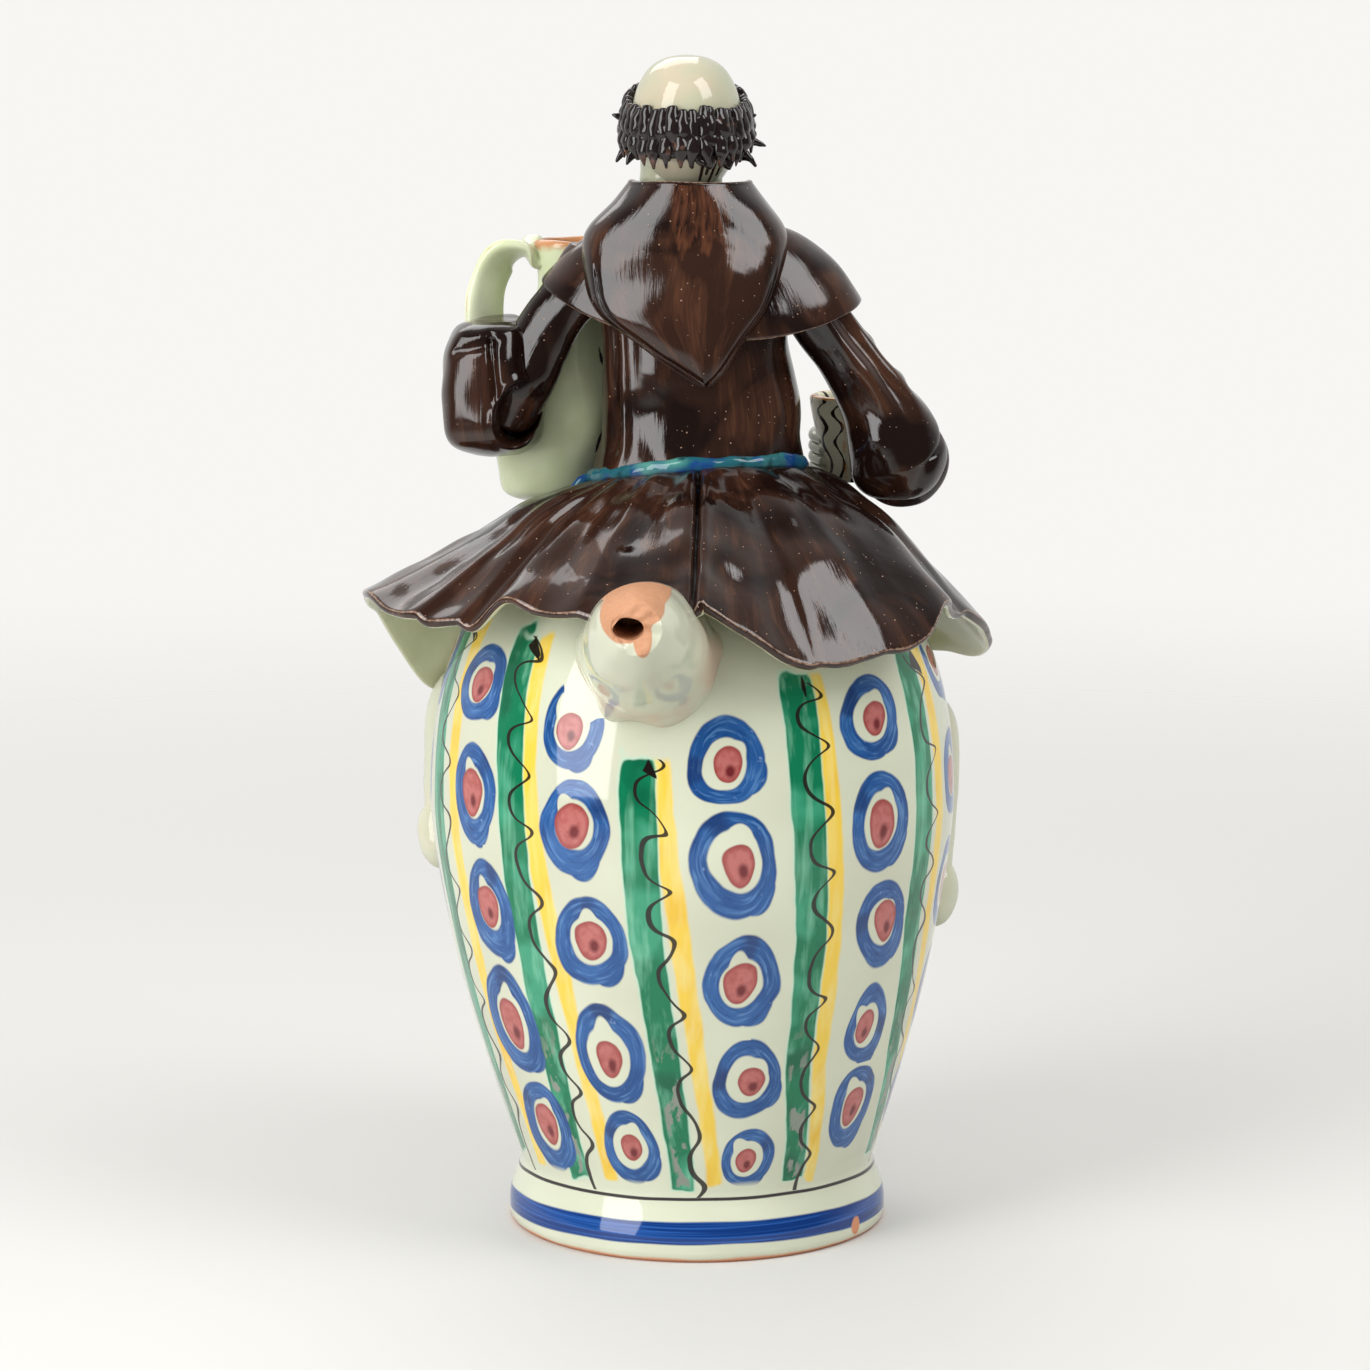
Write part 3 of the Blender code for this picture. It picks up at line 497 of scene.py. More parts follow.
def painted_tin_glaze():
    """Tin-glazed earthenware, brushed with oxides before the one glaze firing.

    The tin glaze is opaque and glassy, so the paint sinks into it with soft edges, pools dark where
    the brush paused, and shows thin and streaky where it ran dry.
    """
    colours = bpy.context.scene.vase_colours
    tree, place, material = glaze_of("painted tin glaze", 1.5, 0.07)
    height = add(tree, "SeparateXYZ", {0: place}).outputs["Z"]

    # the painter's hand: lines wander by a millimetre or less
    hand = cloud(tree, place, 85.0, 2.0, roughness=0.45)
    slow = cloud(tree, place, 22.0, 2.0)
    fine = cloud(tree, place, 420.0, 3.0)
    wander = maths(tree, "SUBTRACT", hand, 0.5)
    drift = maths(tree, "SUBTRACT", slow, 0.5)
    brush = stretch(tree, place, 300.0, 300.0, 26.0)
    streaks = cloud(tree, brush, 1.0, 3.0)
    pools = cloud(tree, place, 60.0, 2.0)

    stripe = add(tree, "SeparateXYZ", {0: add(tree, "UVMap", uv_map="stripe")})
    across_green = stripe.outputs["X"]
    across_yellow = stripe.outputs["Y"]
    top = mark(tree, "stripe_top")
    room = maths(tree, "SUBTRACT", top, height)

    # every stripe ends round at its top and at the foot
    tip = maths(tree, "MULTIPLY_ADD", room, 60.0, wander)
    foot_end = maths(tree, "SUBTRACT", height, 0.0225)
    foot_gap = maths(tree, "MULTIPLY_ADD", foot_end, 90.0, wander)

    def stripe_gap(across, wobble, narrow, wide, roundness):
        """How far inside a stripe's edge a place is, in centimetres. It widens towards the shoulder."""
        half = remap(tree, height, 0.02, 0.12, narrow, wide)
        aside = maths(tree, "ABSOLUTE", maths(tree, "MULTIPLY_ADD", wander, wobble, across))
        gap = maths(tree, "SMOOTH_MIN", maths(tree, "SUBTRACT", half, aside), tip, roundness)
        return maths(tree, "SMOOTH_MIN", gap, foot_gap, 0.08)

    # green stripe: half width from 3.4 mm at the foot to 5.4 mm at the shoulder
    green_gap = stripe_gap(across_green, 0.16, 0.34, 0.54, 0.42)
    green_mask = remap(tree, green_gap, -0.015, 0.05, smooth=True)
    green_rim = remap(tree, green_gap, 0.02, 0.15, 1.0, 0.0)
    green_halo = remap(tree, green_gap, -0.07, 0.02, 0.0, 0.75)

    # yellow stripe: 5 to 6.5 mm wide, with soft edges
    yellow_gap = stripe_gap(across_yellow, 0.20, 0.24, 0.33, 0.30)
    yellow_mask = remap(tree, yellow_gap, -0.04, 0.09, smooth=True)

    # the wavy line between them: 1 to 1.8 mm wide, a wave every 18 mm, 2 to 4 mm either way
    middle = maths(tree, "ADD", across_green, across_yellow)
    middle = maths(tree, "MULTIPLY", middle, 0.5)
    phase = maths(tree, "MULTIPLY", height, 345.0)
    phase = maths(tree, "MULTIPLY_ADD", drift, 9.0, phase)
    phase = maths(tree, "MULTIPLY_ADD", top, 900.0, phase)
    lean = maths(tree, "COSINE", phase)
    phase = maths(tree, "MULTIPLY_ADD", lean, 0.45, phase)
    wave = maths(tree, "SINE", phase)
    sway = remap(tree, height, 0.02, 0.16, 0.18, 0.44)
    wave = maths(tree, "MULTIPLY_ADD", wave, sway, middle)
    wave = maths(tree, "MULTIPLY_ADD", wander, 0.16, wave)
    line_in = maths(tree, "ABSOLUTE", wave)
    line_half = remap(tree, pools, 0.3, 0.7, 0.048, 0.088)
    line_gap = maths(tree, "SUBTRACT", line_half, line_in)
    line_top = remap(tree, room, 0.0015, 0.0030, -0.1, 0.5)
    line_foot = remap(tree, height, 0.0188, 0.0198, -0.1, 0.5)
    line_gap = maths(tree, "MINIMUM", line_gap, line_top)
    line_gap = maths(tree, "MINIMUM", line_gap, line_foot)
    line_mask = remap(tree, line_gap, -0.012, 0.018, smooth=True)

    # its start at the top is a dark three-cornered dab, 8 mm wide
    size = mark(tree, "dab")
    dab_width = remap(tree, room, 0.0, 0.0065, -0.05, 0.44)
    dab_width = maths(tree, "MULTIPLY", dab_width, size)
    dab_side = maths(tree, "MULTIPLY_ADD", drift, 0.9, middle)
    dab_side = maths(tree, "ABSOLUTE", dab_side)
    dab_gap = maths(tree, "SUBTRACT", dab_width, dab_side)
    slope = maths(tree, "MULTIPLY_ADD", middle, -0.006, room)
    dab_end = remap(tree, slope, 0.0050, 0.0074, 0.2, -0.2)
    dab_start = remap(tree, room, -0.001, 0.001, -0.2, 0.2)
    dab_gap = maths(tree, "MINIMUM", dab_gap, dab_end)
    dab_gap = maths(tree, "MINIMUM", dab_gap, dab_start)
    dab_gap = maths(tree, "MULTIPLY_ADD", wander, 0.45, dab_gap)
    dab_mask = remap(tree, dab_gap, -0.01, 0.03)

    # blue rings: one stroke about 5 mm wide, notched at the hole and drawn out where it ends
    ring = add(tree, "UVMap", uv_map="ring")
    tone = mark(tree, "ring_tone")
    shake = vectors(tree, "SUBTRACT", hand.outputs["Color"], (0.5, 0.5, 0.5))
    shake = add(tree, "VectorMath", {0: shake, 3: 0.17}, operation="SCALE")
    roll = cloud(tree, place, 38.0, 0.0)
    roll = vectors(tree, "SUBTRACT", roll.outputs["Color"], (0.5, 0.5, 0.5))
    roll = add(tree, "VectorMath", {0: roll, 3: 0.50}, operation="SCALE")
    warped = vectors(tree, "ADD", ring, shake)
    warped = vectors(tree, "ADD", warped, roll)
    flat = vectors(tree, "MULTIPLY", warped, (1.0, 1.0, 0.0))
    radius = vectors(tree, "LENGTH", flat).outputs["Value"]
    sides = add(tree, "SeparateXYZ", {0: flat})
    # the bristles drew fine lines round the stroke
    facing = add(tree, "SeparateXYZ", {0: vectors(tree, "NORMALIZE", flat)})
    drawn_x = maths(tree, "MULTIPLY_ADD", tone, 6.0, facing.outputs["X"])
    drawn_z = maths(tree, "MULTIPLY", radius, 11.0)
    drawn = add(tree, "CombineXYZ", {0: drawn_x, 1: facing.outputs["Y"], 2: drawn_z})
    bristles = cloud(tree, drawn, 1.2, 2.0, distortion=0.4)
    angle = maths(tree, "ARCTAN2", sides.outputs["Y"], sides.outputs["X"])
    start = maths(tree, "MULTIPLY_ADD", tone, 0.95, 1.6)
    turned = maths(tree, "SUBTRACT", angle, start)
    notch = maths(tree, "COSINE", turned)
    notch = remap(tree, notch, 0.86, 1.0)
    notch = maths(tree, "POWER", notch, 2.2)
    notch = maths(tree, "MULTIPLY", notch, remap(tree, tone, -1.0, 1.0, 0.07, 0.27))
    uneven = maths(tree, "MULTIPLY_ADD", drift, 0.35, 0.555)
    hole = maths(tree, "ADD", notch, uneven)
    tail = maths(tree, "MULTIPLY_ADD", tone, 1.4, turned)
    tail = maths(tree, "COSINE", maths(tree, "ADD", tail, 2.5))
    tail = remap(tree, tail, 0.90, 1.0, 1.0, 1.12)
    outer = maths(tree, "SUBTRACT", tail, radius)
    inner = maths(tree, "SUBTRACT", radius, hole)
    ring_gap = maths(tree, "SMOOTH_MIN", outer, inner, 0.03)
    # the ring beside the spout was never closed
    broken = mark(tree, "ring_broken")
    open_side = maths(tree, "COSINE", maths(tree, "SUBTRACT", angle, 1.15))
    open_side = remap(tree, open_side, 0.62, 0.78)
    open_side = maths(tree, "MULTIPLY", open_side, broken)
    ring_gap = maths(tree, "SUBTRACT", ring_gap, open_side)
    ring_mask = remap(tree, ring_gap, -0.02, 0.04, smooth=True)
    ring_rim = remap(tree, ring_gap, 0.0, 0.10, 1.0, 0.0)
    pause = maths(tree, "MULTIPLY_ADD", tone, 2.6, turned)
    pause = maths(tree, "COSINE", pause)
    pause = maths(tree, "MULTIPLY_ADD", wander, 0.25, pause)
    pause = remap(tree, pause, 0.93, 1.0, 0.0, 0.7)

    # red-pink heart of each ring, with a dark spot where the brush was set down
    heart = vectors(tree, "MULTIPLY", flat, (2.12, 2.2, 0.0))
    aside = add(tree, "CombineXYZ", {0: tone, 1: 0.4})
    heart = vectors(tree, "MULTIPLY_ADD", aside, (0.22, 0.2, 0.0), heart)
    # narrower towards the bottom, like a thumbprint
    heart_side = add(tree, "SeparateXYZ", {0: heart})
    taper = remap(tree, heart_side.outputs["Y"], -1.0, 0.7, 1.32, 0.95)
    heart_wide = maths(tree, "MULTIPLY", heart_side.outputs["X"], taper)
    heart = add(tree, "CombineXYZ", {0: heart_wide, 1: heart_side.outputs["Y"]})
    heart_far = vectors(tree, "LENGTH", heart).outputs["Value"]
    heart_far = maths(tree, "MULTIPLY_ADD", drift, 0.9, heart_far)
    heart_mask = remap(tree, heart_far, 1.03, 0.93, smooth=True)
    heart_rim = remap(tree, heart_far, 0.70, 0.98)
    seed = vectors(tree, "ADD", heart, (-0.18, 0.28, 0.0))
    seed = vectors(tree, "LENGTH", seed).outputs["Value"]
    seed = remap(tree, seed, 0.42, 0.18)

    # foot: a black line at the waist, a blue band, and bare clay at the very edge
    behind = add(tree, "SeparateXYZ", {0: place}).outputs["Y"]
    dip = remap(tree, behind, 0.0, 0.057, 0.0026, 0.0)
    waver = maths(tree, "MULTIPLY_ADD", drift, 0.0022, height)
    waver = maths(tree, "ADD", waver, dip)
    line_low = maths(tree, "SUBTRACT", waver, 0.0189)
    line_low = maths(tree, "ABSOLUTE", line_low)
    waist_line = remap(tree, line_low, 0.00062, 0.00036)
    band_mid = maths(tree, "SUBTRACT", waver, 0.0090)
    band_mid = maths(tree, "ABSOLUTE", band_mid)
    band_mask = remap(tree, band_mid, 0.0036, 0.0031)
    band_brush = stretch(tree, place, 18.0, 18.0, 1500.0)
    band_tone = cloud(tree, band_brush, 1.0, 2.0)
    bare_edge = maths(tree, "MULTIPLY_ADD", wander, 0.0016, height)
    bare_mask = remap(tree, bare_edge, 0.0016, 0.0008)
    # a chip in the foot's edge shows the clay
    chip = vectors(tree, "DISTANCE", place, (-0.0475, 0.032, 0.0042)).outputs["Value"]
    chip = maths(tree, "MULTIPLY_ADD", wander, 0.004, chip)
    chip = remap(tree, chip, 0.0030, 0.0024)
    bare_mask = maths(tree, "MAXIMUM", bare_mask, chip)

    # tones of each paint
    cloudy = remap(tree, slow, 0.3, 0.7)
    ground = layered(tree, colours.tin_glaze, ((cloudy, linear("#CBCFB9")),))
    green = layered(tree, colours.copper, (
        (remap(tree, pools, 0.50, 0.62), linear("#37906E")),
        (remap(tree, streaks, 0.50, 0.85), linear("#7CBC9E")),
        (remap(tree, pools, 0.42, 0.30), linear("#055B3D")),
        (maths(tree, "MULTIPLY", green_rim, 0.35), linear("#0A6A4C")),
    ))
    low = remap(tree, height, 0.075, 0.055)
    ash = cloud(tree, stretch(tree, place, 270.0, 270.0, 110.0), 1.0, 3.0)
    smoke = remap(tree, ash, 0.53, 0.57)
    smoke_side = remap(tree, green_gap, 0.10, 0.18)
    smoke = maths(tree, "MULTIPLY", smoke, low)
    smoke = maths(tree, "MULTIPLY", smoke, smoke_side)
    yellow = layered(tree, colours.antimony, (
        (remap(tree, pools, 0.52, 0.66), linear("#DEB228")),
        (remap(tree, streaks, 0.45, 0.8), linear("#E4CF80")),
    ))
    blue_patch = remap(tree, pools, 0.38, 0.66)
    blue = layered(tree, colours.cobalt, (
        (blue_patch, linear("#2C5B96")),
        (remap(tree, bristles, 0.52, 0.70, 0.0, 0.8), linear("#557FB0")),
        (remap(tree, bristles, 0.44, 0.30, 0.0, 0.7), linear("#11366E")),
        (remap(tree, fine, 0.68, 0.85), linear("#86A0C8")),
        (maths(tree, "MULTIPLY", ring_rim, 0.45), linear("#0F3572")),
        (pause, linear("#172E5E")),
    ))
    red = layered(tree, linear("#B06662"), (
        (remap(tree, fine, 0.42, 0.68, 0.0, 0.7), linear("#984843")),
        (heart_rim, linear("#8C3938")),
        (seed, linear("#682226")),
    ))
    band_blue = layered(tree, linear("#0B3170"), (
        (remap(tree, band_tone, 0.45, 0.65), linear("#25539A")),
    ))
    ring_fade = remap(tree, height, 0.022, 0.024)
    coats = (
        (maths(tree, "MULTIPLY", yellow_mask, 0.94), yellow),
        (green_halo, linear("#A4D2BC")),
        (green_mask, green),
        (smoke, linear("#80877C")),
        (maths(tree, "MULTIPLY", ring_mask, ring_fade), blue),
        (heart_mask, red),
        (maths(tree, "MULTIPLY", line_mask, 0.96), linear("#1F1816")),
        (dab_mask, linear("#17110F")),
        (waist_line, linear("#2A2124")),
        (band_mask, band_blue),
        (bare_mask, linear("#C98A66")),
    )
    feed(tree, "Base Color", layered(tree, ground, coats))

    # the glaze lies in slow ripples, and the wheel left faint rings under it
    wheel = stretch(tree, place, 6.0, 6.0, 160.0)
    rings = cloud(tree, wheel, 1.0, 2.0)
    soft = ripple(tree, 0.16, 0.0011, slow)
    soft = ripple(tree, 0.10, 0.0008, rings, soft)
    feed(tree, "Normal", soft)
    feed(tree, "Roughness", remap(tree, bare_mask, 0.0, 1.0, 0.06, 0.75))
    return material


def habit_glaze():
    """Manganese-brown lead glaze over brushed slip on the habit.

    It is nearly black where thick, warm and streaky where the brush thinned it, pale on the sharp
    rims it ran off, and peppered with fine pinholes. Painted shade makes it near black in the
    skirt's seam groove and in the cuff's mouth.
    """
    colours = bpy.context.scene.vase_colours
    tree, place, material = glaze_of("manganese brown glaze", 1.52, 0.06)
    sheet = add(tree, "UVMap", uv_map="wrap")
    # brush marks 1.2 mm wide and about 12 mm long
    brush = stretch(tree, sheet, 850.0, 85.0, 1.0)
    streaks = cloud(tree, brush, 1.0, 4.0, roughness=0.6, distortion=0.3)
    wide = stretch(tree, sheet, 170.0, 42.0, 1.0)
    swathes = cloud(tree, wide, 1.0, 3.0, distortion=0.6)
    slow = cloud(tree, place, 34.0, 3.0, distortion=0.8)
    grain = cloud(tree, place, 900.0, 2.0)
    warm = remap(tree, swathes, 0.50, 0.66)
    fibres = remap(tree, streaks, 0.44, 0.68)
    dark = remap(tree, slow, 0.52, 0.40)
    warm_fibres = maths(tree, "MULTIPLY", warm, fibres)
    warm_fibres = maths(tree, "MULTIPLY", warm_fibres, 0.7)

    # pinholes: cells 1.6 mm apart, of which some have a dot up to 0.5 mm across
    cells = add(tree, "TexVoronoi", {"Vector": place, "Scale": 620.0})
    lot = add(tree, "SeparateColor", {0: cells.outputs["Color"]})
    size = remap(tree, lot, 0.40, 1.0, 0.0, 0.17)
    dots = maths(tree, "SUBTRACT", size, cells.outputs["Distance"])
    dots = remap(tree, dots, 0.0, 0.04, 0.0, 0.8)

    rim = mark(tree, "rim")
    ragged = maths(tree, "MULTIPLY_ADD", grain, 0.6, rim)
    rim_mask = remap(tree, ragged, 1.02, 1.32, 0.0, 0.85)
    # painted shade: where the rim mark falls below zero, in the skirt's seam groove and the cuff's mouth, the
    # brown is painted near black
    deep = remap(tree, rim, -0.3, -0.8)
    under = mark(tree, "shade")
    # a warmer patch in long streaks down the middle of the hood's back
    warm_zone = remap(tree, under, 0.02, 0.3)
    warm_zone = maths(tree, "MULTIPLY", warm_zone, remap(tree, streaks, 0.36, 0.62))
    lining = remap(tree, under, 0.45, 0.55)
    lined = layered(tree, linear("#C9CDAF"), ((slow, linear("#A9A884")),))
    coats = (
        (warm, linear("#3B241A")),
        (warm_fibres, linear("#533524")),
        (dark, linear("#170C09")),
        (warm_zone, linear("#4F2F20")),
        (dots, linear("#A8836C")),
        (rim_mask, linear("#A58774")),
        # painted shade, near black, in the seam groove and the cuff's mouth
        (deep, linear("#0B0605")),
        (lining, lined),
    )
    feed(tree, "Base Color", layered(tree, colours.habit, coats))
    soft = ripple(tree, 0.35, 0.0012, slow)
    soft = ripple(tree, 0.12, 0.0004, streaks, soft)
    soft = ripple(tree, 0.5, 0.0002, dots, soft, sunk=True)
    feed(tree, "Normal", soft)
    feed(tree, "Roughness", remap(tree, slow, 0.3, 0.7, 0.05, 0.11))
    return material


def plain_tin_glaze():
    """Unpainted tin glaze over hand-built clay: cream.

    The mesh's shade marks bare pink clay, and its rim marks clay that was smeared on.
    """
    colours = bpy.context.scene.vase_colours
    tree, place, material = glaze_of("plain tin glaze", 1.5, 0.08)
    slow = cloud(tree, place, 45.0, 3.0)
    grain = cloud(tree, place, 700.0, 3.0)
    bare = mark(tree, "shade")
    ragged = maths(tree, "MULTIPLY_ADD", slow, 0.25, bare)
    bare_mask = remap(tree, ragged, 0.60, 0.64)
    bare_line = remap(tree, ragged, 0.55, 0.60)
    clay = layered(tree, linear("#B27A54"), ((grain, linear("#C49270")),))
    cloudy = remap(tree, slow, 0.48, 0.72, 0.0, 0.5)
    # where wet clay was smeared on, the glaze lies thin and fires pinkish
    thin = mark(tree, "rim")
    thin = maths(tree, "MULTIPLY", thin, remap(tree, slow, 0.42, 0.60))
    coats = (
        (cloudy, linear("#CDBFA9")),
        (maths(tree, "MULTIPLY", thin, 0.6), linear("#BC9582")),
        (bare_line, linear("#C9B49C")),
        (bare_mask, clay),
    )
    feed(tree, "Base Color", layered(tree, colours.tin_glaze, coats))
    feed(tree, "Roughness", remap(tree, bare_mask, 0.0, 1.0, 0.08, 0.65))
    soft = ripple(tree, 0.3, 0.0012, slow)
    gritty = maths(tree, "MULTIPLY", grain, bare_mask)
    soft = ripple(tree, 0.6, 0.0004, gritty, soft)
    feed(tree, "Normal", soft)
    return material


def rope_glaze():
    """Copper and cobalt brushed over a tin-glazed rope of clay: turquoise with blue dabs."""
    tree, place, material = glaze_of("turquoise rope glaze", 1.5, 0.07)
    patches = cloud(tree, place, 110.0, 2.0)
    slow = cloud(tree, place, 60.0, 2.0)
    coats = (
        (remap(tree, patches, 0.50, 0.60), linear("#163D70")),
        (remap(tree, slow, 0.55, 0.68), linear("#4A857C")),
        (remap(tree, patches, 0.38, 0.30), linear("#12343C")),
    )
    feed(tree, "Base Color", layered(tree, linear("#205660"), coats))
    soft = ripple(tree, 0.4, 0.001, patches)
    feed(tree, "Normal", soft)
    return material


def hair_glaze():
    """Black manganese glaze pooled over cut locks: brown where thin on the ridges."""
    tree, place, material = glaze_of("black manganese glaze", 1.52, 0.08)
    slow = cloud(tree, place, 170.0, 2.0)
    rim = mark(tree, "rim")
    worn = maths(tree, "MULTIPLY", slow, rim)
    coats = (
        (remap(tree, worn, 0.50, 0.66), linear("#4C2C20")),
        (remap(tree, slow, 0.66, 0.76, 0.0, 0.6), linear("#7A5A4C")),
    )
    feed(tree, "Base Color", layered(tree, linear("#1B1413"), coats))
    return material


def jug_glaze():
    """Celadon-tinted tin glaze on the jug, brushed with ochre at the rim and a few black strokes."""
    colours = bpy.context.scene.vase_colours
    tree, place, material = glaze_of("celadon glaze", 1.5, 0.08)
    slow = cloud(tree, place, 50.0, 3.0)
    hand = cloud(tree, place, 160.0, 3.0)
    rim = mark(tree, "rim")
    ochre = maths(tree, "MULTIPLY_ADD", hand, 0.5, rim)
    ochre = remap(tree, ochre, 0.95, 1.15, 0.0, 0.85)
    marks = mark(tree, "shade")
    inked = maths(tree, "MULTIPLY_ADD", hand, 0.8, marks)
    inked = remap(tree, inked, 1.12, 1.18)
    coats = (
        (remap(tree, slow, 0.45, 0.7, 0.0, 0.7), linear("#D8DCC0")),
        (ochre, linear("#B8703E")),
        (inked, linear("#201814")),
    )
    feed(tree, "Base Color", layered(tree, colours.celadon, coats))
    soft = ripple(tree, 0.35, 0.0014, slow)
    feed(tree, "Normal", soft)
    return material


def cup_glaze():
    """Tin glaze on the cup, with black wavy strokes down it and an ochre side."""
    tree, place, material = glaze_of("painted cup glaze", 1.5, 0.08)
    sheet = add(tree, "SeparateXYZ", {0: add(tree, "UVMap", uv_map="wrap")})
    hand = cloud(tree, place, 190.0, 3.0)
    # a wavy stroke every 6 mm round the cup
    round_cup = maths(tree, "MODULO", sheet.outputs["X"], 0.006)
    round_cup = maths(tree, "SUBTRACT", round_cup, 0.003)
    climb = maths(tree, "MULTIPLY", sheet.outputs["Y"], 560.0)
    sway = maths(tree, "MULTIPLY_ADD", maths(tree, "SINE", climb), 0.0015, round_cup)
    stroke = maths(tree, "ABSOLUTE", sway)
    half = remap(tree, hand, 0.35, 0.65, 0.0004, 0.0012)
    stroke = maths(tree, "SUBTRACT", half, stroke)
    stroke_mask = remap(tree, stroke, 0.0, 0.0002)
    rim = mark(tree, "rim")
    edge = maths(tree, "MULTIPLY_ADD", hand, 0.5, rim)
    coats = (
        (stroke_mask, linear("#231A18")),
        (remap(tree, edge, 0.98, 1.12, 0.0, 0.9), linear("#D08A45")),
    )
    feed(tree, "Base Color", layered(tree, linear("#DDD9BE"), coats))
    return material


def face_glaze():
    """Tin glaze on the head, tinted by hand: rosy cheeks and lips, and dark brows and eyes."""
    tree, place, material = glaze_of("tinted tin glaze", 1.5, 0.08)
    slow = cloud(tree, place, 60.0, 3.0)
    rose = mark(tree, "rim")
    ink = mark(tree, "shade")
    coats = (
        (remap(tree, slow, 0.45, 0.66, 0.0, 0.7), linear("#B9A993")),
        (remap(tree, rose, 0.1, 1.0, 0.0, 0.8), linear("#C98373")),
        (remap(tree, ink, 0.4, 0.6), linear("#33231E")),
    )
    feed(tree, "Base Color", layered(tree, linear("#A8AA92"), coats))
    soft = ripple(tree, 0.3, 0.0010, slow)
    feed(tree, "Normal", soft)
    return material


class VASE_OT_jar(bpy.types.Operator):
    """Throws the jar on the wheel and paints it"""

    bl_idname = "vase.jar"
    bl_label = "Jar"

    def execute(self, context):
        shape = context.scene.vase_shape
        fill_hidden_painting()
        edge = 0.0012
        top = shape.jar_height - 0.0015
        profile = [(shape.foot_radius - 0.004, 0.0), (shape.foot_radius - edge, 0.0)]
        steps = 116
        for i in range(steps + 1):
            height = edge + (top - edge) * i / steps
            profile.append((jar_radius(height), height))
        mesh = bmesh.new()
        verts = [mesh.verts.new((jar_centre(h).x + r, 0.0, h)) for r, h in profile]
        centre_low = mesh.verts.new((0.0, 0.0, 0.0))
        centre_high = mesh.verts.new((0.0015, 0.0, shape.jar_height - 0.0002))
        chain = [centre_low] + verts + [centre_high]
        edges = [mesh.edges.new(pair) for pair in zip(chain, chain[1:])]
        for vert in mesh.verts:
            vert.co.x -= jar_centre(vert.co.z).x
        bmesh.ops.spin(mesh, geom=mesh.verts[:] + edges, cent=(0, 0, 0), axis=(0, 0, 1),
                       angle=2.0 * math.pi, steps=288, use_merge=True)
        bmesh.ops.remove_doubles(mesh, verts=mesh.verts, dist=1e-6)
        bmesh.ops.recalc_face_normals(mesh, faces=mesh.faces)
        mesh.normal_update()
        for vert in mesh.verts:
            vert.co.x += jar_centre(vert.co.z).x
            # between foot and crown the thrown wall wanders, and only inward
            if 0.022 < vert.co.z < 0.2:
                vert.co += vert.normal * 0.22 * MM * (noise.noise(vert.co * 34.0) - 1.0)
        paint_guides(mesh)
        finish_mesh("jar", mesh, painted_tin_glaze())
        return {"FINISHED"}


# The spout: a dome luted to the back shoulder, broken at its tip


def spout_axis(share):
    """A point along the spout's middle."""
    shape = bpy.context.scene.vase_shape
    root = Vector((0.0135, shape.belly_radius * 0.70, 0.179))
    return root + Vector((0.10, 1.55, 0.50)) * 0.037 * share


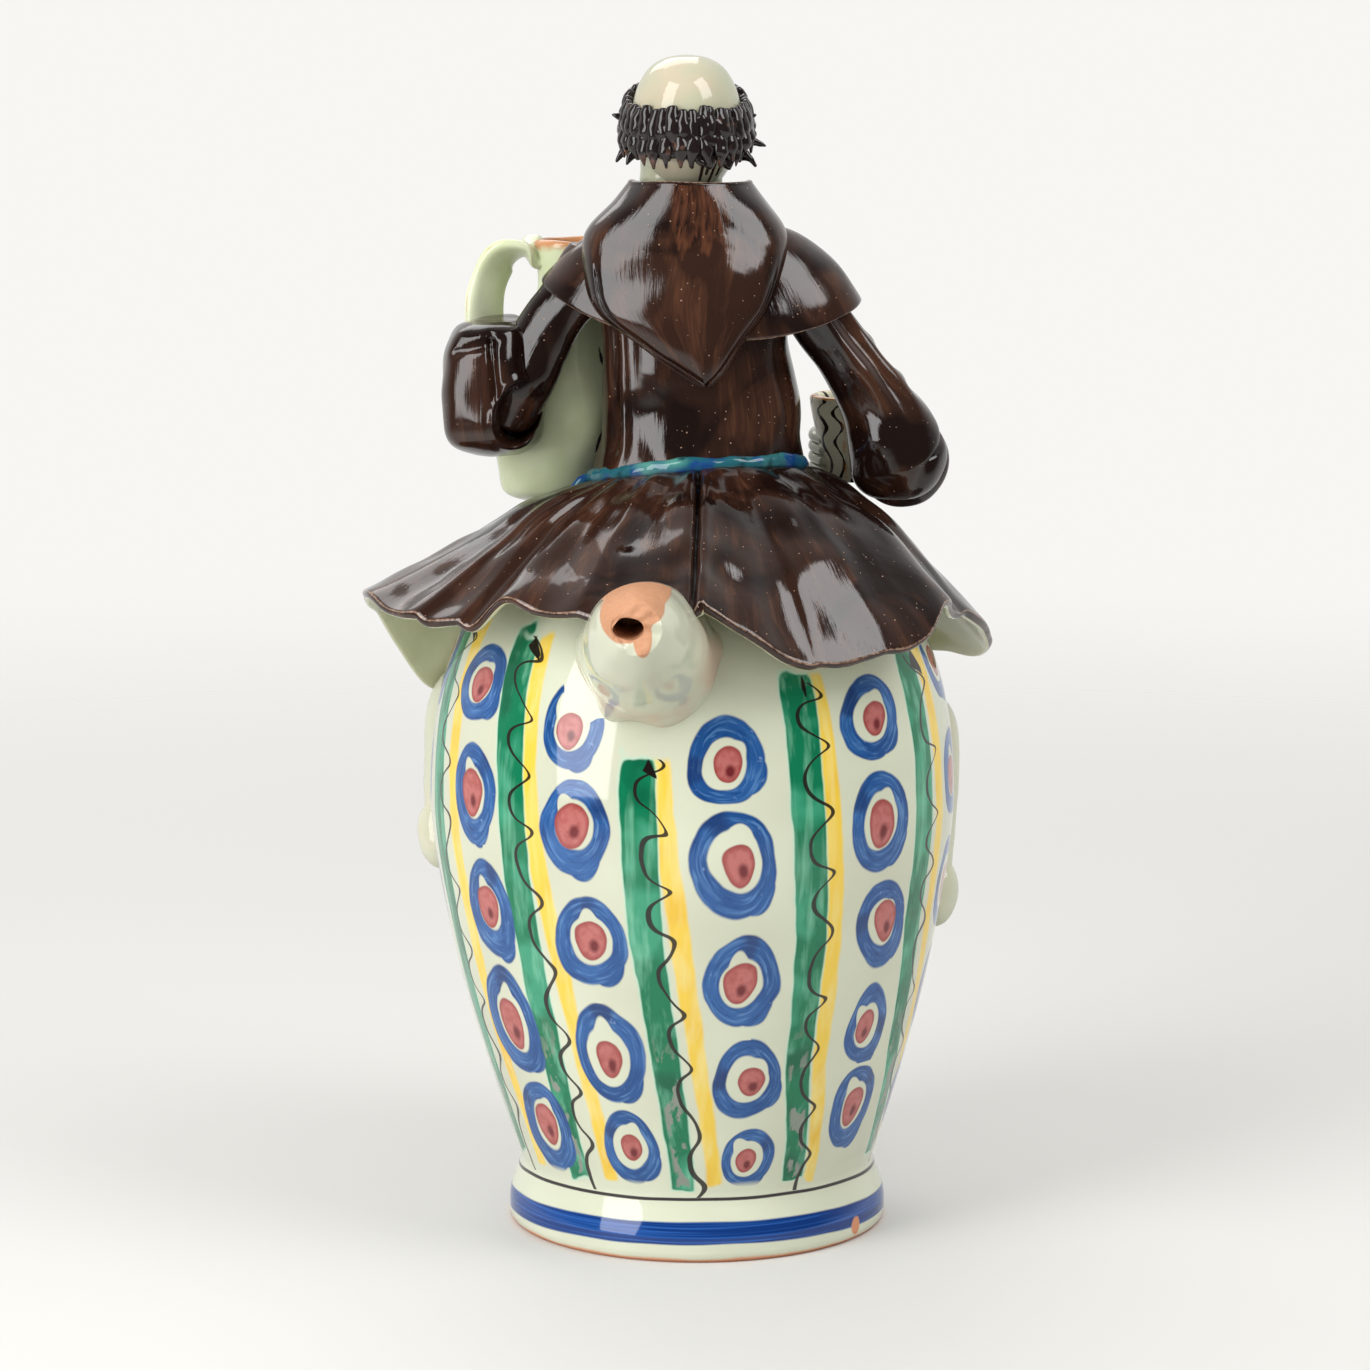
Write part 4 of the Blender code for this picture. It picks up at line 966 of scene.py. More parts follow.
class VASE_OT_spout(bpy.types.Operator):
    """Builds the domed spout with its bare broken tip and its bore"""

    bl_idname = "vase.spout"
    bl_label = "Spout"

    def execute(self, context):
        along = (spout_axis(1.0) - spout_axis(0.0)).normalized()
        up = along.cross(Vector((1, 0, 0))).normalized()
        across = up.cross(along)
        if up.z < 0:
            up = -up
        bore = spout_axis(1.0) + Vector((0.0020, 0.0, 0.0))
        root_radius = 0.0212
        # the dome follows a quarter circle this far, and the broken tip cuts off the rest
        cut = 0.93
        bore_end = Vector((0.0, -0.028, 0.0))

        def oval(middle, radius, c, s):
            """A point on the dome, which is a little flattened."""
            return middle + across * (c * radius * 0.93) + up * (s * radius * 0.97)

        def place(u, v):
            """Once over the dome, across the broken tip, and down the bore."""
            turn = 2.0 * math.pi * u
            c = math.cos(turn)
            s = math.sin(turn)
            if v < 0.7:
                share = 1.0 - (1.0 - v / 0.7) ** 1.6
                radius = root_radius * math.sqrt(1.0 - (cut * share) ** 2.0)
                uneven = 0.5 + noise.noise(Vector((c * 2.0, s * 2.0, 0.3)))
                smear = 0.0034 * (1.0 - ease(share * 2.3)) * uneven
                radius += smear + 0.0009 * noise.noise(Vector((c * 1.3, s * 1.3, share * 2.2)))
                radius *= min(v / 0.02, 1.0)
                return oval(spout_axis(share), radius, c, s)
            ragged = 1.0 + 0.10 * noise.noise(Vector((c * 1.3, s * 1.3, 4.0)))
            edge = bore + Vector((c * 0.0042 * ragged, 0.0, s * 0.0031 * ragged))
            tip_radius = root_radius * math.sqrt(1.0 - cut ** 2.0)
            tip_radius += 0.0009 * noise.noise(Vector((c * 1.3, s * 1.3, 2.2)))
            rim = oval(spout_axis(1.0), tip_radius, c, s)
            if v < 0.85:
                t = (v - 0.7) / 0.15
                flat = rim.lerp(edge, ease(t))
                chipped = 0.0008 * noise.noise(Vector((c * 2.2, s * 2.2, t * 2.0))) * math.sin(math.pi * t)
                return flat + along * (0.0006 * math.sin(math.pi * t) + chipped)
            deep = edge + bore_end * min((v - 0.85) / 0.13, 1.0)
            if v > 0.98:
                return bore + bore_end + (deep - bore - bore_end) * (1.0 - v) / 0.02
            return deep

        def bare(u, v):
            """Bare clay over the tip, up over the top, and down in a drip at one side."""
            spot = place(u, v)
            x = (spot.x - bore.x) / MM
            z = (spot.z - bore.z) / MM
            if v < 0.25:
                return 0.0
            if v > 0.93:
                return 1.0
            # ovals of bare clay: their middle, half width and half height
            ovals = ((-3.0, 9.0, 10.6, 4.2), (0.8, 2.4, 7.4, 6.2), (-3.9, -2.6, 2.6, 5.4),
                     (-2.0, 5.5, 8.0, 5.0))
            nearest = min(math.hypot((x - a) / wide, (z - b) / high) for a, b, wide, high in ovals)
            return 0.5 + 0.9 * (1.0 - nearest)

        mesh = new_mesh()
        wrap(mesh, place, 200, 200, 0.12, 0.09, {"shade": bare, "rim": lambda u, v: ease((0.30 - v) / 0.16)},
             (0.0003, 0.008))
        finish_mesh("spout", mesh, shared("plain tin glaze", plain_tin_glaze))
        return {"FINISHED"}


# The habit


HEM = (
    (0.0, 4.0, 10.0), (12.0, 4.5, 13.0), (24.0, 5.0, 16.0), (34.0, 3.5, 15.5), (43.0, 4.5, 12.5),
    (51.0, 9.0, 22.0), (62.0, 17.0, 20.0), (76.0, 21.0, 17.0), (97.0, 20.0, 24.0), (118.0, 13.0, 54.0),
    (140.0, 3.0, 46.0), (160.0, -2.0, 30.0), (180.0, -5.0, 20.0), (200.0, -2.0, 28.0), (222.0, 5.0, 42.0),
    (238.0, 12.0, 44.0), (250.0, 16.0, 40.0), (266.0, 9.0, 30.0), (286.0, 1.0, 19.0), (302.0, 6.0, 14.0),
    (311.0, 9.0, 22.5), (322.0, 8.0, 27.5), (333.0, 7.0, 27.0), (343.0, 5.5, 23.0), (352.0, 4.5, 16.0),
)
PLEATS = (
    (25.0, 6.0, 1.2), (52.0, 4.0, 2.6), (60.0, 3.0, 1.6), (284.0, 7.0, -3.0), (322.0, 8.0, 2.0),
    (338.0, 4.0, -1.4),
)


# The belt's half width and half depth, in the figure's millimetres
BELT_WIDE = 31.0
BELT_DEEP = 25.0


def belt_height(turn):
    """The belt rides up at the back and sits lowest at the figure's left."""
    return 17.2 + 4.5 * math.cos(turn) - 2.2 * math.sin(turn)


def dent(turn, share, around, ahead, down):
    """How far thrown clay is dented: the three numbers say how closely the dents follow one another."""
    return noise.noise(Vector((math.sin(turn) * around, math.cos(turn) * ahead, share * down)))


def seam_offset(azimuth, share, radius):
    """Millimetres from the open seam at the back, which leans a little."""
    return nearest_turn(azimuth, -0.5 + 1.5 * share) * math.radians(1.0) * radius


def skirt_surface(u, share):
    """The skirt's outer face: u once round from the back, share 0 under the belt and 1 at the hem."""
    azimuth = 360.0 * u
    turn = math.radians(azimuth)
    reach, drop = read_around(HEM, azimuth)
    hem_radius = 78.2 + 0.99 * reach
    belt_radius = 1.0 / math.hypot(math.sin(turn) / BELT_WIDE, math.cos(turn) / BELT_DEEP)
    bow = 1.5 - 0.25 * bump(azimuth % 360.0, 76.0, 40.0)
    radius = belt_radius + (hem_radius - belt_radius) * share
    top = belt_height(turn) - 0.4
    height = top - (top + drop) * max(share, 0.0) ** bow
    for centre, width, rise in PLEATS:
        # each pleat is steep on one side, where its clay was folded over
        aside = nearest_turn(azimuth, centre)
        fold = bump(aside, 0.0, width * (0.45 if aside < 0.0 else 1.5))
        height += (1.3 if centre < 90.0 else 0.9) * rise * ease(share * 2.2 + 0.1) * fold
    # the seam at the back stands open, with raised lips
    aside = seam_offset(azimuth, share, radius)
    height -= 3.4 * ease(share * 6.0) * bump(aside, 0.0, 0.75)
    height += ease(share * 4.0) * (0.5 * bump(aside, 2.4, 2.0) + 1.0 * bump(aside, -2.6, 1.5))
    # gathers under the belt, and the soft dents of thrown clay
    gathers = 0.7 * math.sin(17.0 * turn + 1.2 * math.sin(3.0 * turn))
    height += gathers * ease(share * 7.0) * (1.0 - share) ** 3
    height += 2.2 * dent(turn, share, 2.2, 2.6, 2.2) * ease(share * 2.0)
    height += 1.1 * dent(turn, share, 7.0, 7.0, 5.0) * ease(share * 3.0)
    # where it would sink into the jar's crown, the skirt lies on it
    shape = bpy.context.scene.vase_shape
    spot = Vector((radius * math.sin(turn) * MM, radius * math.cos(turn) * MM,
                   shape.seat_height + height * MM))
    away = math.hypot(spot.x - jar_centre(spot.z).x, spot.y) / shape.belly_radius
    if away < 1.0:
        crown = (1.0 - away ** (1.0 / CROWN_ROUND)) ** (1.0 / CROWN_RISE)
        jar_top = shape.belly_height + (shape.jar_height - shape.belly_height) * crown
        spot.z = max(spot.z, jar_top + 0.7 * MM)
    return spot


class VASE_OT_habit(bpy.types.Operator):
    """Drapes the skirt, body, cape and hood of the habit from rolled clay"""

    bl_idname = "vase.habit"
    bl_label = "Habit"

    def execute(self, context):
        slab = context.scene.vase_shape.slab
        glaze = shared("manganese brown glaze", habit_glaze)

        def underside(u, share):
            return skirt_surface(u, share) - normal_of(skirt_surface, u, share) * slab

        # where v ends the skirt's top, its rolled hem and its underside
        top, hem, under = 0.52, 0.60, 0.96

        def skirt(u, v):
            """Once round the slab's section: out along the top, round the hem, and back underneath."""
            if v <= top:
                return skirt_surface(u, v / top)
            if v < hem:
                turn = math.pi * (v - top) / (hem - top)
                normal = normal_of(skirt_surface, u, 1.0)
                outward = (skirt_surface(u, 1.0) - skirt_surface(u, 0.97)).normalized()
                return (skirt_surface(u, 1.0) - normal * slab * 0.5 * (1.0 - math.cos(turn))
                        + outward * 0.5 * slab * math.sin(turn) * 0.8)
            share = 1.0 - (v - hem) / (under - hem)
            if share >= 0.0:
                return underside(u, max(share, 0.04))
            return skirt_surface(u, 0.0).lerp(underside(u, 0.04), max(1.0 - v, 0.0) / (1.0 - under))

        def seam(u, v):
            """Marks the bottom of the open seam, where the groove is painted near black as shade."""
            share = v / top
            radius = BELT_DEEP + 53.0 * share
            return bump(seam_offset(360.0 * u, share, radius), 0.0, 0.7) if v < top - 0.02 else 0.0

        mesh = new_mesh()
        # the rim mark rises along the hem for pale glaze, and falls below zero along the seam for painted
        # shade
        wrap(mesh, skirt, 620, 120, 0.5, 0.16, {
            "rim": lambda u, v: bump(v, 0.53, 0.012) - seam(u, v),
            "shade": lambda u, v: ease((v - 0.56) / 0.02),
        }, (0.0004, 0.011))
        finish_mesh("skirt", mesh, glaze)

        seat = ((0, 0, -8, 40, 34), (0, 0, 0, 41, 35), (0, 0, 6, 37, 31), (0, 0, 14, 29, 23.5))
        mesh = new_mesh()
        wrap(mesh, stacked(seat), 96, 24, 0.2, 0.03)
        finish_mesh("seat", mesh, glaze)

        torso = (
            (0.0, 0.0, 8.0, 30.6, 24.6), (0.0, 0.0, 17.0, 31.2, 25.0), (-1.2, -1.0, 27.0, 29.8, 24.4),
            (-1.2, -1.0, 38.0, 29.5, 23.5), (0.8, 0.0, 56.0, 27.5, 22.0), (1.0, 0.0, 70.0, 29.0, 20.5),
            (1.0, 0.0, 82.0, 29.0, 19.0), (1.5, 0.0, 92.0, 20.0, 16.0),
        )

        def folds(turn, z):
            """One long fold down the left of the back, and small creases where the belt pulls."""
            azimuth = 90.0 - math.degrees(turn)
            fold = 1.3 * bump_round(azimuth, 47.0, 4.5) - 1.3 * bump_round(azimuth, 58.0, 6.0)
            fold *= ease((z - 17.0) / 12.0) * ease((78.0 - z) / 20.0)
            crease = 0.8 * math.sin(8.0 * turn + 0.15 * z) * bump(z, 20.0, 7.0)
            return fold + crease

        mesh = new_mesh()
        wrap(mesh, stacked(torso, 2.25, 0.03, folds), 200, 110, 0.17, 0.085, wobble=(0.0006, 0.012))
        finish_mesh("torso", mesh, glaze)

        def cape_surface(u, share):
            turn = 2.0 * math.pi * u
            spread = max(share, 0.0) ** 0.85
            left = math.sin(turn)
            width = 14.0 + (33.3 - 1.3 * left) * spread
            depth = 12.0 + 14.5 * spread
            fall = (19.5 - 3.0 * left) * max(share, 0.0) ** 2.2 + 12.0 * share * abs(math.cos(turn)) ** 1.6
            return figure(squared(left, 0.9) * width, squared(math.cos(turn), 0.9) * depth, 91.0 - fall)

        def cape(u, v):
            """Once round the slab's section, as on the skirt."""
            if v <= 0.55:
                return cape_surface(u, 0.05 + 0.95 * v / 0.55)
            inward = figure(0.0, 0.0, 61.0) - cape_surface(u, 1.0)
            inward.z = 0.0
            inward = inward.normalized()
            if v < 0.63:
                turn = math.pi * (v - 0.55) / 0.08
                return (cape_surface(u, 1.0) + inward * slab * 0.5 * (1.0 - math.cos(turn))
                        - Vector((0, 0, 0.4 * slab * math.sin(turn))))
            share = 1.0 - 0.95 * min((v - 0.63) / 0.33, 1.0)
            sag = Vector((0, 0, slab * 0.6 * ease((1.0 - share) * 4.0)))
            under = cape_surface(u, share) + inward * slab - sag
            return under.lerp(cape_surface(u, 0.05), max(v - 0.96, 0.0) / 0.04)

        mesh = new_mesh()
        wrap(mesh, cape, 240, 90, 0.22, 0.09, {"rim": lambda u, v: bump(v, 0.57, 0.018)}, (0.0006, 0.012))
        finish_mesh("cape", mesh, glaze)

        hood = (
            (2.0, 3.2, 103.0, 18.4, 16.8), (2.0, 4.2, 97.5, 22.8, 18.4), (3.1, 5.6, 91.0, 28.4, 19.8),
            (3.6, 7.6, 85.5, 30.2, 20.4), (4.3, 11.6, 77.0, 29.2, 19.8), (4.7, 16.4, 67.0, 25.6, 18.0),
            (2.0, 21.0, 57.0, 15.4, 14.8), (-0.8, 24.0, 50.5, 8.0, 11.2), (-2.1, 26.4, 46.0, 2.4, 7.6),
        )

        def collar(turn, inset, z, shrink=1.0):
            """A point on the hood's collar or inside it."""
            return figure(2.0 + math.cos(turn) * (18.4 - inset) * shrink,
                          3.2 + math.sin(turn) * (16.8 - inset) * shrink, z)

        def hood_surface(u, v):
            """From inside the collar over its rim, and down to the hood's tip at the back."""
            turn = 2.0 * math.pi * u
            dip = 6.5 * ease(-1.4 * math.sin(turn))
            if v < 0.12:
                # down inside the collar
                t = v / 0.12
                rim = 2.4 + 0.5 * math.cos(math.pi * t)
                z = 96.0 + 7.0 * min(t * 1.15, 1.0)
                shrink = min(t / 0.15, 1.0)
                return collar(turn, rim, z - dip * min(t * 1.15, 1.0), shrink)
            if v < 0.17:
                # over the collar's rim
                t = math.pi * (v - 0.12) / 0.05
                inset = 1.2 * (1.0 + math.cos(t))
                z = 103.0 + 0.9 * math.sin(t)
                return collar(turn, inset, z - dip)
            share = (v - 0.17) / 0.83
            x, y, z, width, depth = read_curve(hood, min(share / 0.985, 1.0))
            a = math.cos(turn)
            b = math.sin(turn)
            if b > 0.0:
                # the back hangs as a shallow roof and turns in sharply at its edges
                roof = (1.0 - 0.40 * (abs(a) ** 1.6)) * (1.0 - abs(a) ** 14.0) ** 0.5
                b += (roof - b) * ease(share * 6.0) * ease((1.0 - share) * 8.0)
                # a band runs along its hem, with a groove beside it
                edge = (1.0 - abs(a)) * width
                hem = 4.2 if a > 0.0 else 2.4
                below = ease((share - 0.40) * 8.0)
                depth += 1.0 * ease((hem - edge) * 1.5) * below - 0.9 * bump(edge, hem, 0.6) * below
            if share > 0.985:
                width *= (1.0 - share) / 0.015
                depth *= (1.0 - share) / 0.015
            return figure(x + a * width, y + b * depth, z - dip * ease((z - 80.0) / 23.0))

        def hood_warm_zone(u, v):
            """Warmer down the middle of the back, in streaks, ending in a zigzag."""
            if v < 0.17 or not 0.1 < u < 0.4:
                return 0.0
            x, _, z = own_place(hood_surface(u, v))
            ends = 85.0 + 2.6 * math.sin(0.95 * x + 0.6) + 1.0 * math.sin(2.3 * x)
            return 0.3 * ease((z - ends) / 1.6) * ease((9.6 - abs(x + 0.6)) / 3.0)

        mesh = new_mesh()
        wrap(mesh, hood_surface, 300, 170, 0.15, 0.085,
             {"rim": lambda u, v: bump(v, 0.145, 0.02), "shade": hood_warm_zone}, (0.0006, 0.014))
        finish_mesh("hood", mesh, glaze)
        return {"FINISHED"}


class VASE_OT_belt(bpy.types.Operator):
    """Lays the rope belt with its loop at the side and two ends in front"""

    bl_idname = "vase.belt"
    bl_label = "Belt"

    def execute(self, context):
        rope = context.scene.vase_shape.belt_rope / MM
        glaze = rope_glaze()

        def belt(u, v):
            turn = 2.0 * math.pi * v
            outward = Vector((math.sin(turn), math.cos(turn), 0.0))
            lift = belt_height(turn) + 0.2 * math.sin(5.0 * turn)
            half = 0.5 * rope * (1.0 + 0.06 * math.sin(5.0 * turn + 0.7) + 0.03 * math.sin(13.0 * turn))
            angle = 2.0 * math.pi * u
            return (figure(BELT_WIDE * outward.x, BELT_DEEP * outward.y, lift)
                    + (outward * math.cos(angle) + Vector((0, 0, 1)) * math.sin(angle) * 1.1) * half * MM)

        mesh = new_mesh()
        wrap(mesh, belt, 20, 300, 0.012, 0.18, wobble=(0.0004, 0.004))
        for side, reach in ((-1, 51.0), (1, 50.4)):
            rows = ((0, -25, 13, 2.2, 2.2), (4 * side, -29, 11, 2.0, 2.0), (6 * side, -36, 7, 1.9, 1.9),
                    (8 * side, -43, 2, 1.9, 1.9), (9 * side, -reach, -4, 2.6, 2.6))
            wrap(mesh, limb(rows, Vector((1, 0, 0)), (1.0, 2.0)), 16, 60, 0.012, 0.05, wobble=(0.0003, 0.004))
        loop = ((29.0, 9.5, 15.5, 1.8, 1.8), (32.0, 10.5, 11.5, 1.9, 1.9), (34.6, 9.0, 8.6, 1.9, 1.9),
                (36.8, 6.0, 10.8, 1.8, 1.8), (34.4, 4.5, 14.6, 1.7, 1.7), (31.0, 4.0, 16.0, 1.6, 1.6))
        wrap(mesh, limb(loop, Vector((0, 1, 0.2)), (1.0, 1.0)), 16, 60, 0.012, 0.04, wobble=(0.0003, 0.004))
        finish_mesh("belt", mesh, glaze)
        return {"FINISHED"}


class VASE_OT_arms(bpy.types.Operator):
    """Rolls the sleeves and the hands"""

    bl_idname = "vase.arms"
    bl_label = "Sleeves and hands"

    def execute(self, context):
        glaze = shared("manganese brown glaze", habit_glaze)
        mesh = new_mesh()
        upper = ((30.0, 0.0, 79.0, 9.0, 9.0), (38.0, 0.5, 69.0, 8.2, 8.0), (46.5, 1.0, 56.0, 8.4, 8.4),
                 (52.5, 0.5, 44.0, 9.4, 9.0), (56.0, -3.0, 35.0, 10.0, 9.0))

        def left_folds(u, v):
            """A long flat along the sleeve, where the clay was pressed."""
            return -1.2 * math.cos(4.0 * math.pi * (u - 0.074)) * ease(v * 6.0) * ease((1.0 - v) * 4.0)

        wrap(mesh, limb(upper, Vector((0, 1, 0)), (2.0, 4.0), folds=left_folds), 96, 100, 0.055, 0.06,
             wobble=(0.0006, 0.010))

        # the wide cuff hangs like a drum; it is rolled over at the top and open at its lower corner
        drum = ((59.0, -7.0, 62.0, 6.5, 11.0), (60.0, -7.0, 59.5, 11.6, 16.0),
                (60.6, -7.0, 53.0, 14.5, 19.5), (60.6, -7.0, 43.0, 15.3, 21.6),
                (60.4, -7.0, 33.0, 15.2, 22.6), (60.0, -7.0, 26.0, 13.4, 20.4),
                (59.6, -8.0, 22.0, 7.5, 11.5))
        drum_place = stacked(drum, 2.2, 0.04)

        def mouth_of(x, z):
            """The cuff's leaning oval mouth: 1 at its edge."""
            return math.hypot((x - 52.5 + 0.15 * (z - 37.0)) / 6.6, (z - 35.5) / 9.4)

        def cuff(u, v):
            spot = drum_place(u, v)
            a = math.cos(2.0 * math.pi * u)
            if a > 0.0 and u < 0.25:
                # the outer band is a flat strip of clay bent round the drum
                round_side = math.sin(2.0 * math.pi * u)
                flat_side = (1.0 - 0.28 * a ** 1.5) * (1.0 - a ** 12.0) ** 0.5
                spot.y += (flat_side - round_side) * 20.5 * MM * ease(v * 5.0) * ease((1.0 - v) * 5.0)
            x, y, z = own_place(spot)
            if y > -4.0:
                mouth = mouth_of(x, z)
                inside = ease((1.04 - mouth) / 0.22)
                lip = bump(mouth, 1.12, 0.13)
                crease = bump(x - 0.10 * (z - 40.0), 59.0, 1.3)
                crease *= ease((z - 30.0) / 10.0) * ease((61.0 - z) / 6.0)
                fold = bump(z + 0.28 * (x - 60.0), 56.5, 1.5)
                fold *= ease((x - 56.0) / 4.0) * ease((74.0 - x) / 3.0)
                spot.y += (1.0 * lip - 15.0 * inside - 2.2 * crease - 0.9 * fold) * MM
            return spot

        def hollow(u, v):
            """Marks the inside of the cuff's mouth for painted shade: near black, where no light reaches."""
            x, _, z = own_place(drum_place(u, v))
            return -ease((1.0 - mouth_of(x, z)) / 0.16)

        # the hollow mark paints the inside of the cuff's mouth near black as shade
        wrap(mesh, cuff, 240, 130, 0.10, 0.045, {"rim": hollow}, (0.0008, 0.010))
        finish_mesh("left_sleeve", mesh, glaze)

        mesh = new_mesh()
        upper = ((-26.0, 0.0, 77.0, 9.0, 9.0), (-33.0, 0.5, 67.0, 10.0, 9.6),
                 (-42.5, 1.0, 53.5, 10.4, 9.7), (-51.0, 1.0, 41.0, 11.2, 10.6),
                 (-56.8, 0.0, 30.5, 14.0, 13.4), (-59.9, -1.5, 21.0, 15.6, 14.8))

        def right_folds(u, v):
            """Two long ridges down the back of the sleeve, small dents outside, and a crease at the elbow."""
            side = (u + 0.5) % 1.0 - 0.5
            ridges = 2.1 * (bump(side, -0.150, 0.042) + bump(side, -0.030, 0.042)) - 0.8
            ridges *= ease((v - 0.05) * 6.0) * ease((0.80 - v) * 4.0)
            dents = 0.8 * bump(side, -0.22, 0.04) * math.sin(46.0 * v)
            dents *= ease((v - 0.2) * 8.0) * ease((0.7 - v) * 8.0)
            crease = 1.3 * bump(v - 0.55 * side, 0.93, 0.020)
            crease *= ease((0.02 - side) * 14.0) * ease((side + 0.30) * 12.0)
            return ridges + dents - crease

        wrap(mesh, limb(upper, Vector((0, 1, 0)), (2.0, 13.0), 2.0, 0.12, right_folds), 160, 170, 0.085, 0.08,
             wobble=(0.0008, 0.012))
        fore = ((-61.0, 0.0, 20.5, 14.0, 14.0), (-60.5, -8.0, 20.0, 14.0, 14.0),
                (-58.5, -20.0, 18.0, 12.0, 12.0), (-56.0, -30.0, 16.5, 10.5, 10.5))
        wrap(mesh, limb(fore, Vector((1, 0, 0)), (6.0, 1.0), 2.0, 0.2), 90, 90, 0.085, 0.05,
             wobble=(0.0006, 0.010))
        finish_mesh("right_sleeve", mesh, glaze)

        skin = shared("plain tin glaze", plain_tin_glaze)
        mesh = new_mesh()
        wrist = ((58.0, -28.0, 37.0, 8.0, 8.0), (53.0, -39.0, 37.0, 6.0, 6.5), (45.0, -44.0, 38.0, 5.0, 6.5),
                 (37.0, -44.5, 38.5, 3.6, 6.5))
        wrap(mesh, limb(wrist, Vector((0, 0, 1)), (1.0, 3.0)), 40, 50, 0.03, 0.04, wobble=(0.0003, 0.006))
        for finger in range(4):
            z = 43.0 - 3.4 * finger
            rows = ((38.0, -44.5, z, 2.0, 2.0), (31.0, -42.0, z - 0.5, 1.8, 1.8),
                    (26.5, -36.5, z - 1.0, 1.6, 1.6))
            wrap(mesh, limb(rows, Vector((0, 0, 1)), (1.0, 1.6)), 16, 36, 0.01, 0.02)
        finish_mesh("left_hand", mesh, skin)

        mesh = new_mesh()
        wrist = ((-57.0, -26.0, 17.0, 6.5, 6.5), (-55.0, -36.0, 18.0, 5.5, 6.0),
                 (-48.0, -40.5, 20.0, 5.0, 6.5), (-42.0, -39.0, 21.0, 4.0, 6.5))
        wrap(mesh, limb(wrist, Vector((0, 0, 1)), (1.0, 2.0)), 40, 50, 0.03, 0.04, wobble=(0.0003, 0.006))
        for finger in range(4):
            z = 25.5 - 3.2 * finger
            rows = ((-43.0, -39.0, z, 2.0, 2.0), (-37.0, -34.5, z - 0.3, 1.9, 1.9),
                    (-35.5, -27.0, z - 0.8, 1.8, 1.8), (-38.0, -20.0, z - 1.4, 1.6, 1.6))
            wrap(mesh, limb(rows, Vector((0, 0, 1)), (1.0, 1.6)), 16, 44, 0.01, 0.03)
        finish_mesh("right_hand", mesh, skin)
        return {"FINISHED"}


# The head

HEAD_ROWS = (
    (140.0, 1.6, 1.8), (139.2, 6.0, 6.8), (136.8, 10.4, 11.8), (132.5, 13.6, 15.8), (127.0, 15.6, 18.0),
    (120.5, 16.4, 18.8), (114.0, 15.6, 18.2), (108.5, 13.4, 16.6), (104.0, 10.6, 14.0), (101.0, 7.4, 10.5),
    (99.6, 3.0, 5.0),
)


def on_head(turn, width, depth, z):
    """A place on a level oval round the head's middle, in the figure's millimetres."""
    return 3.2 + math.cos(turn) * width, -1.5 + math.sin(turn) * depth, z


def off_face(turn):
    """How far a direction is from straight ahead, in radians."""
    return (turn - 1.5 * math.pi + math.pi) % (2.0 * math.pi) - math.pi


def face_relief(turn, height):
    """How far the calm, plain face stands out of the skull."""
    off = abs(off_face(turn))
    nose = 4.2 * bump(height, 113.0, 2.6) + 2.4 * bump(height, 116.5, 3.6)
    relief = nose * bump(off, 0.0, 0.16)
    relief += 0.9 * bump(height, 123.0, 2.2) * bump(off, 0.0, 0.75)
    relief -= 1.4 * bump(height, 119.5, 2.2) * bump(off, 0.36, 0.17)
    relief += 1.0 * bump(height, 107.6, 1.7) * bump(off, 0.0, 0.26)
    relief += 1.8 * bump(height, 102.6, 2.4) * bump(off, 0.0, 0.34)
    relief += 0.8 * bump(height, 119.6, 1.2) * bump(off, 0.36, 0.11)
    relief -= 0.7 * bump(height, 107.4, 0.45) * bump(off, 0.0, 0.24)
    return relief


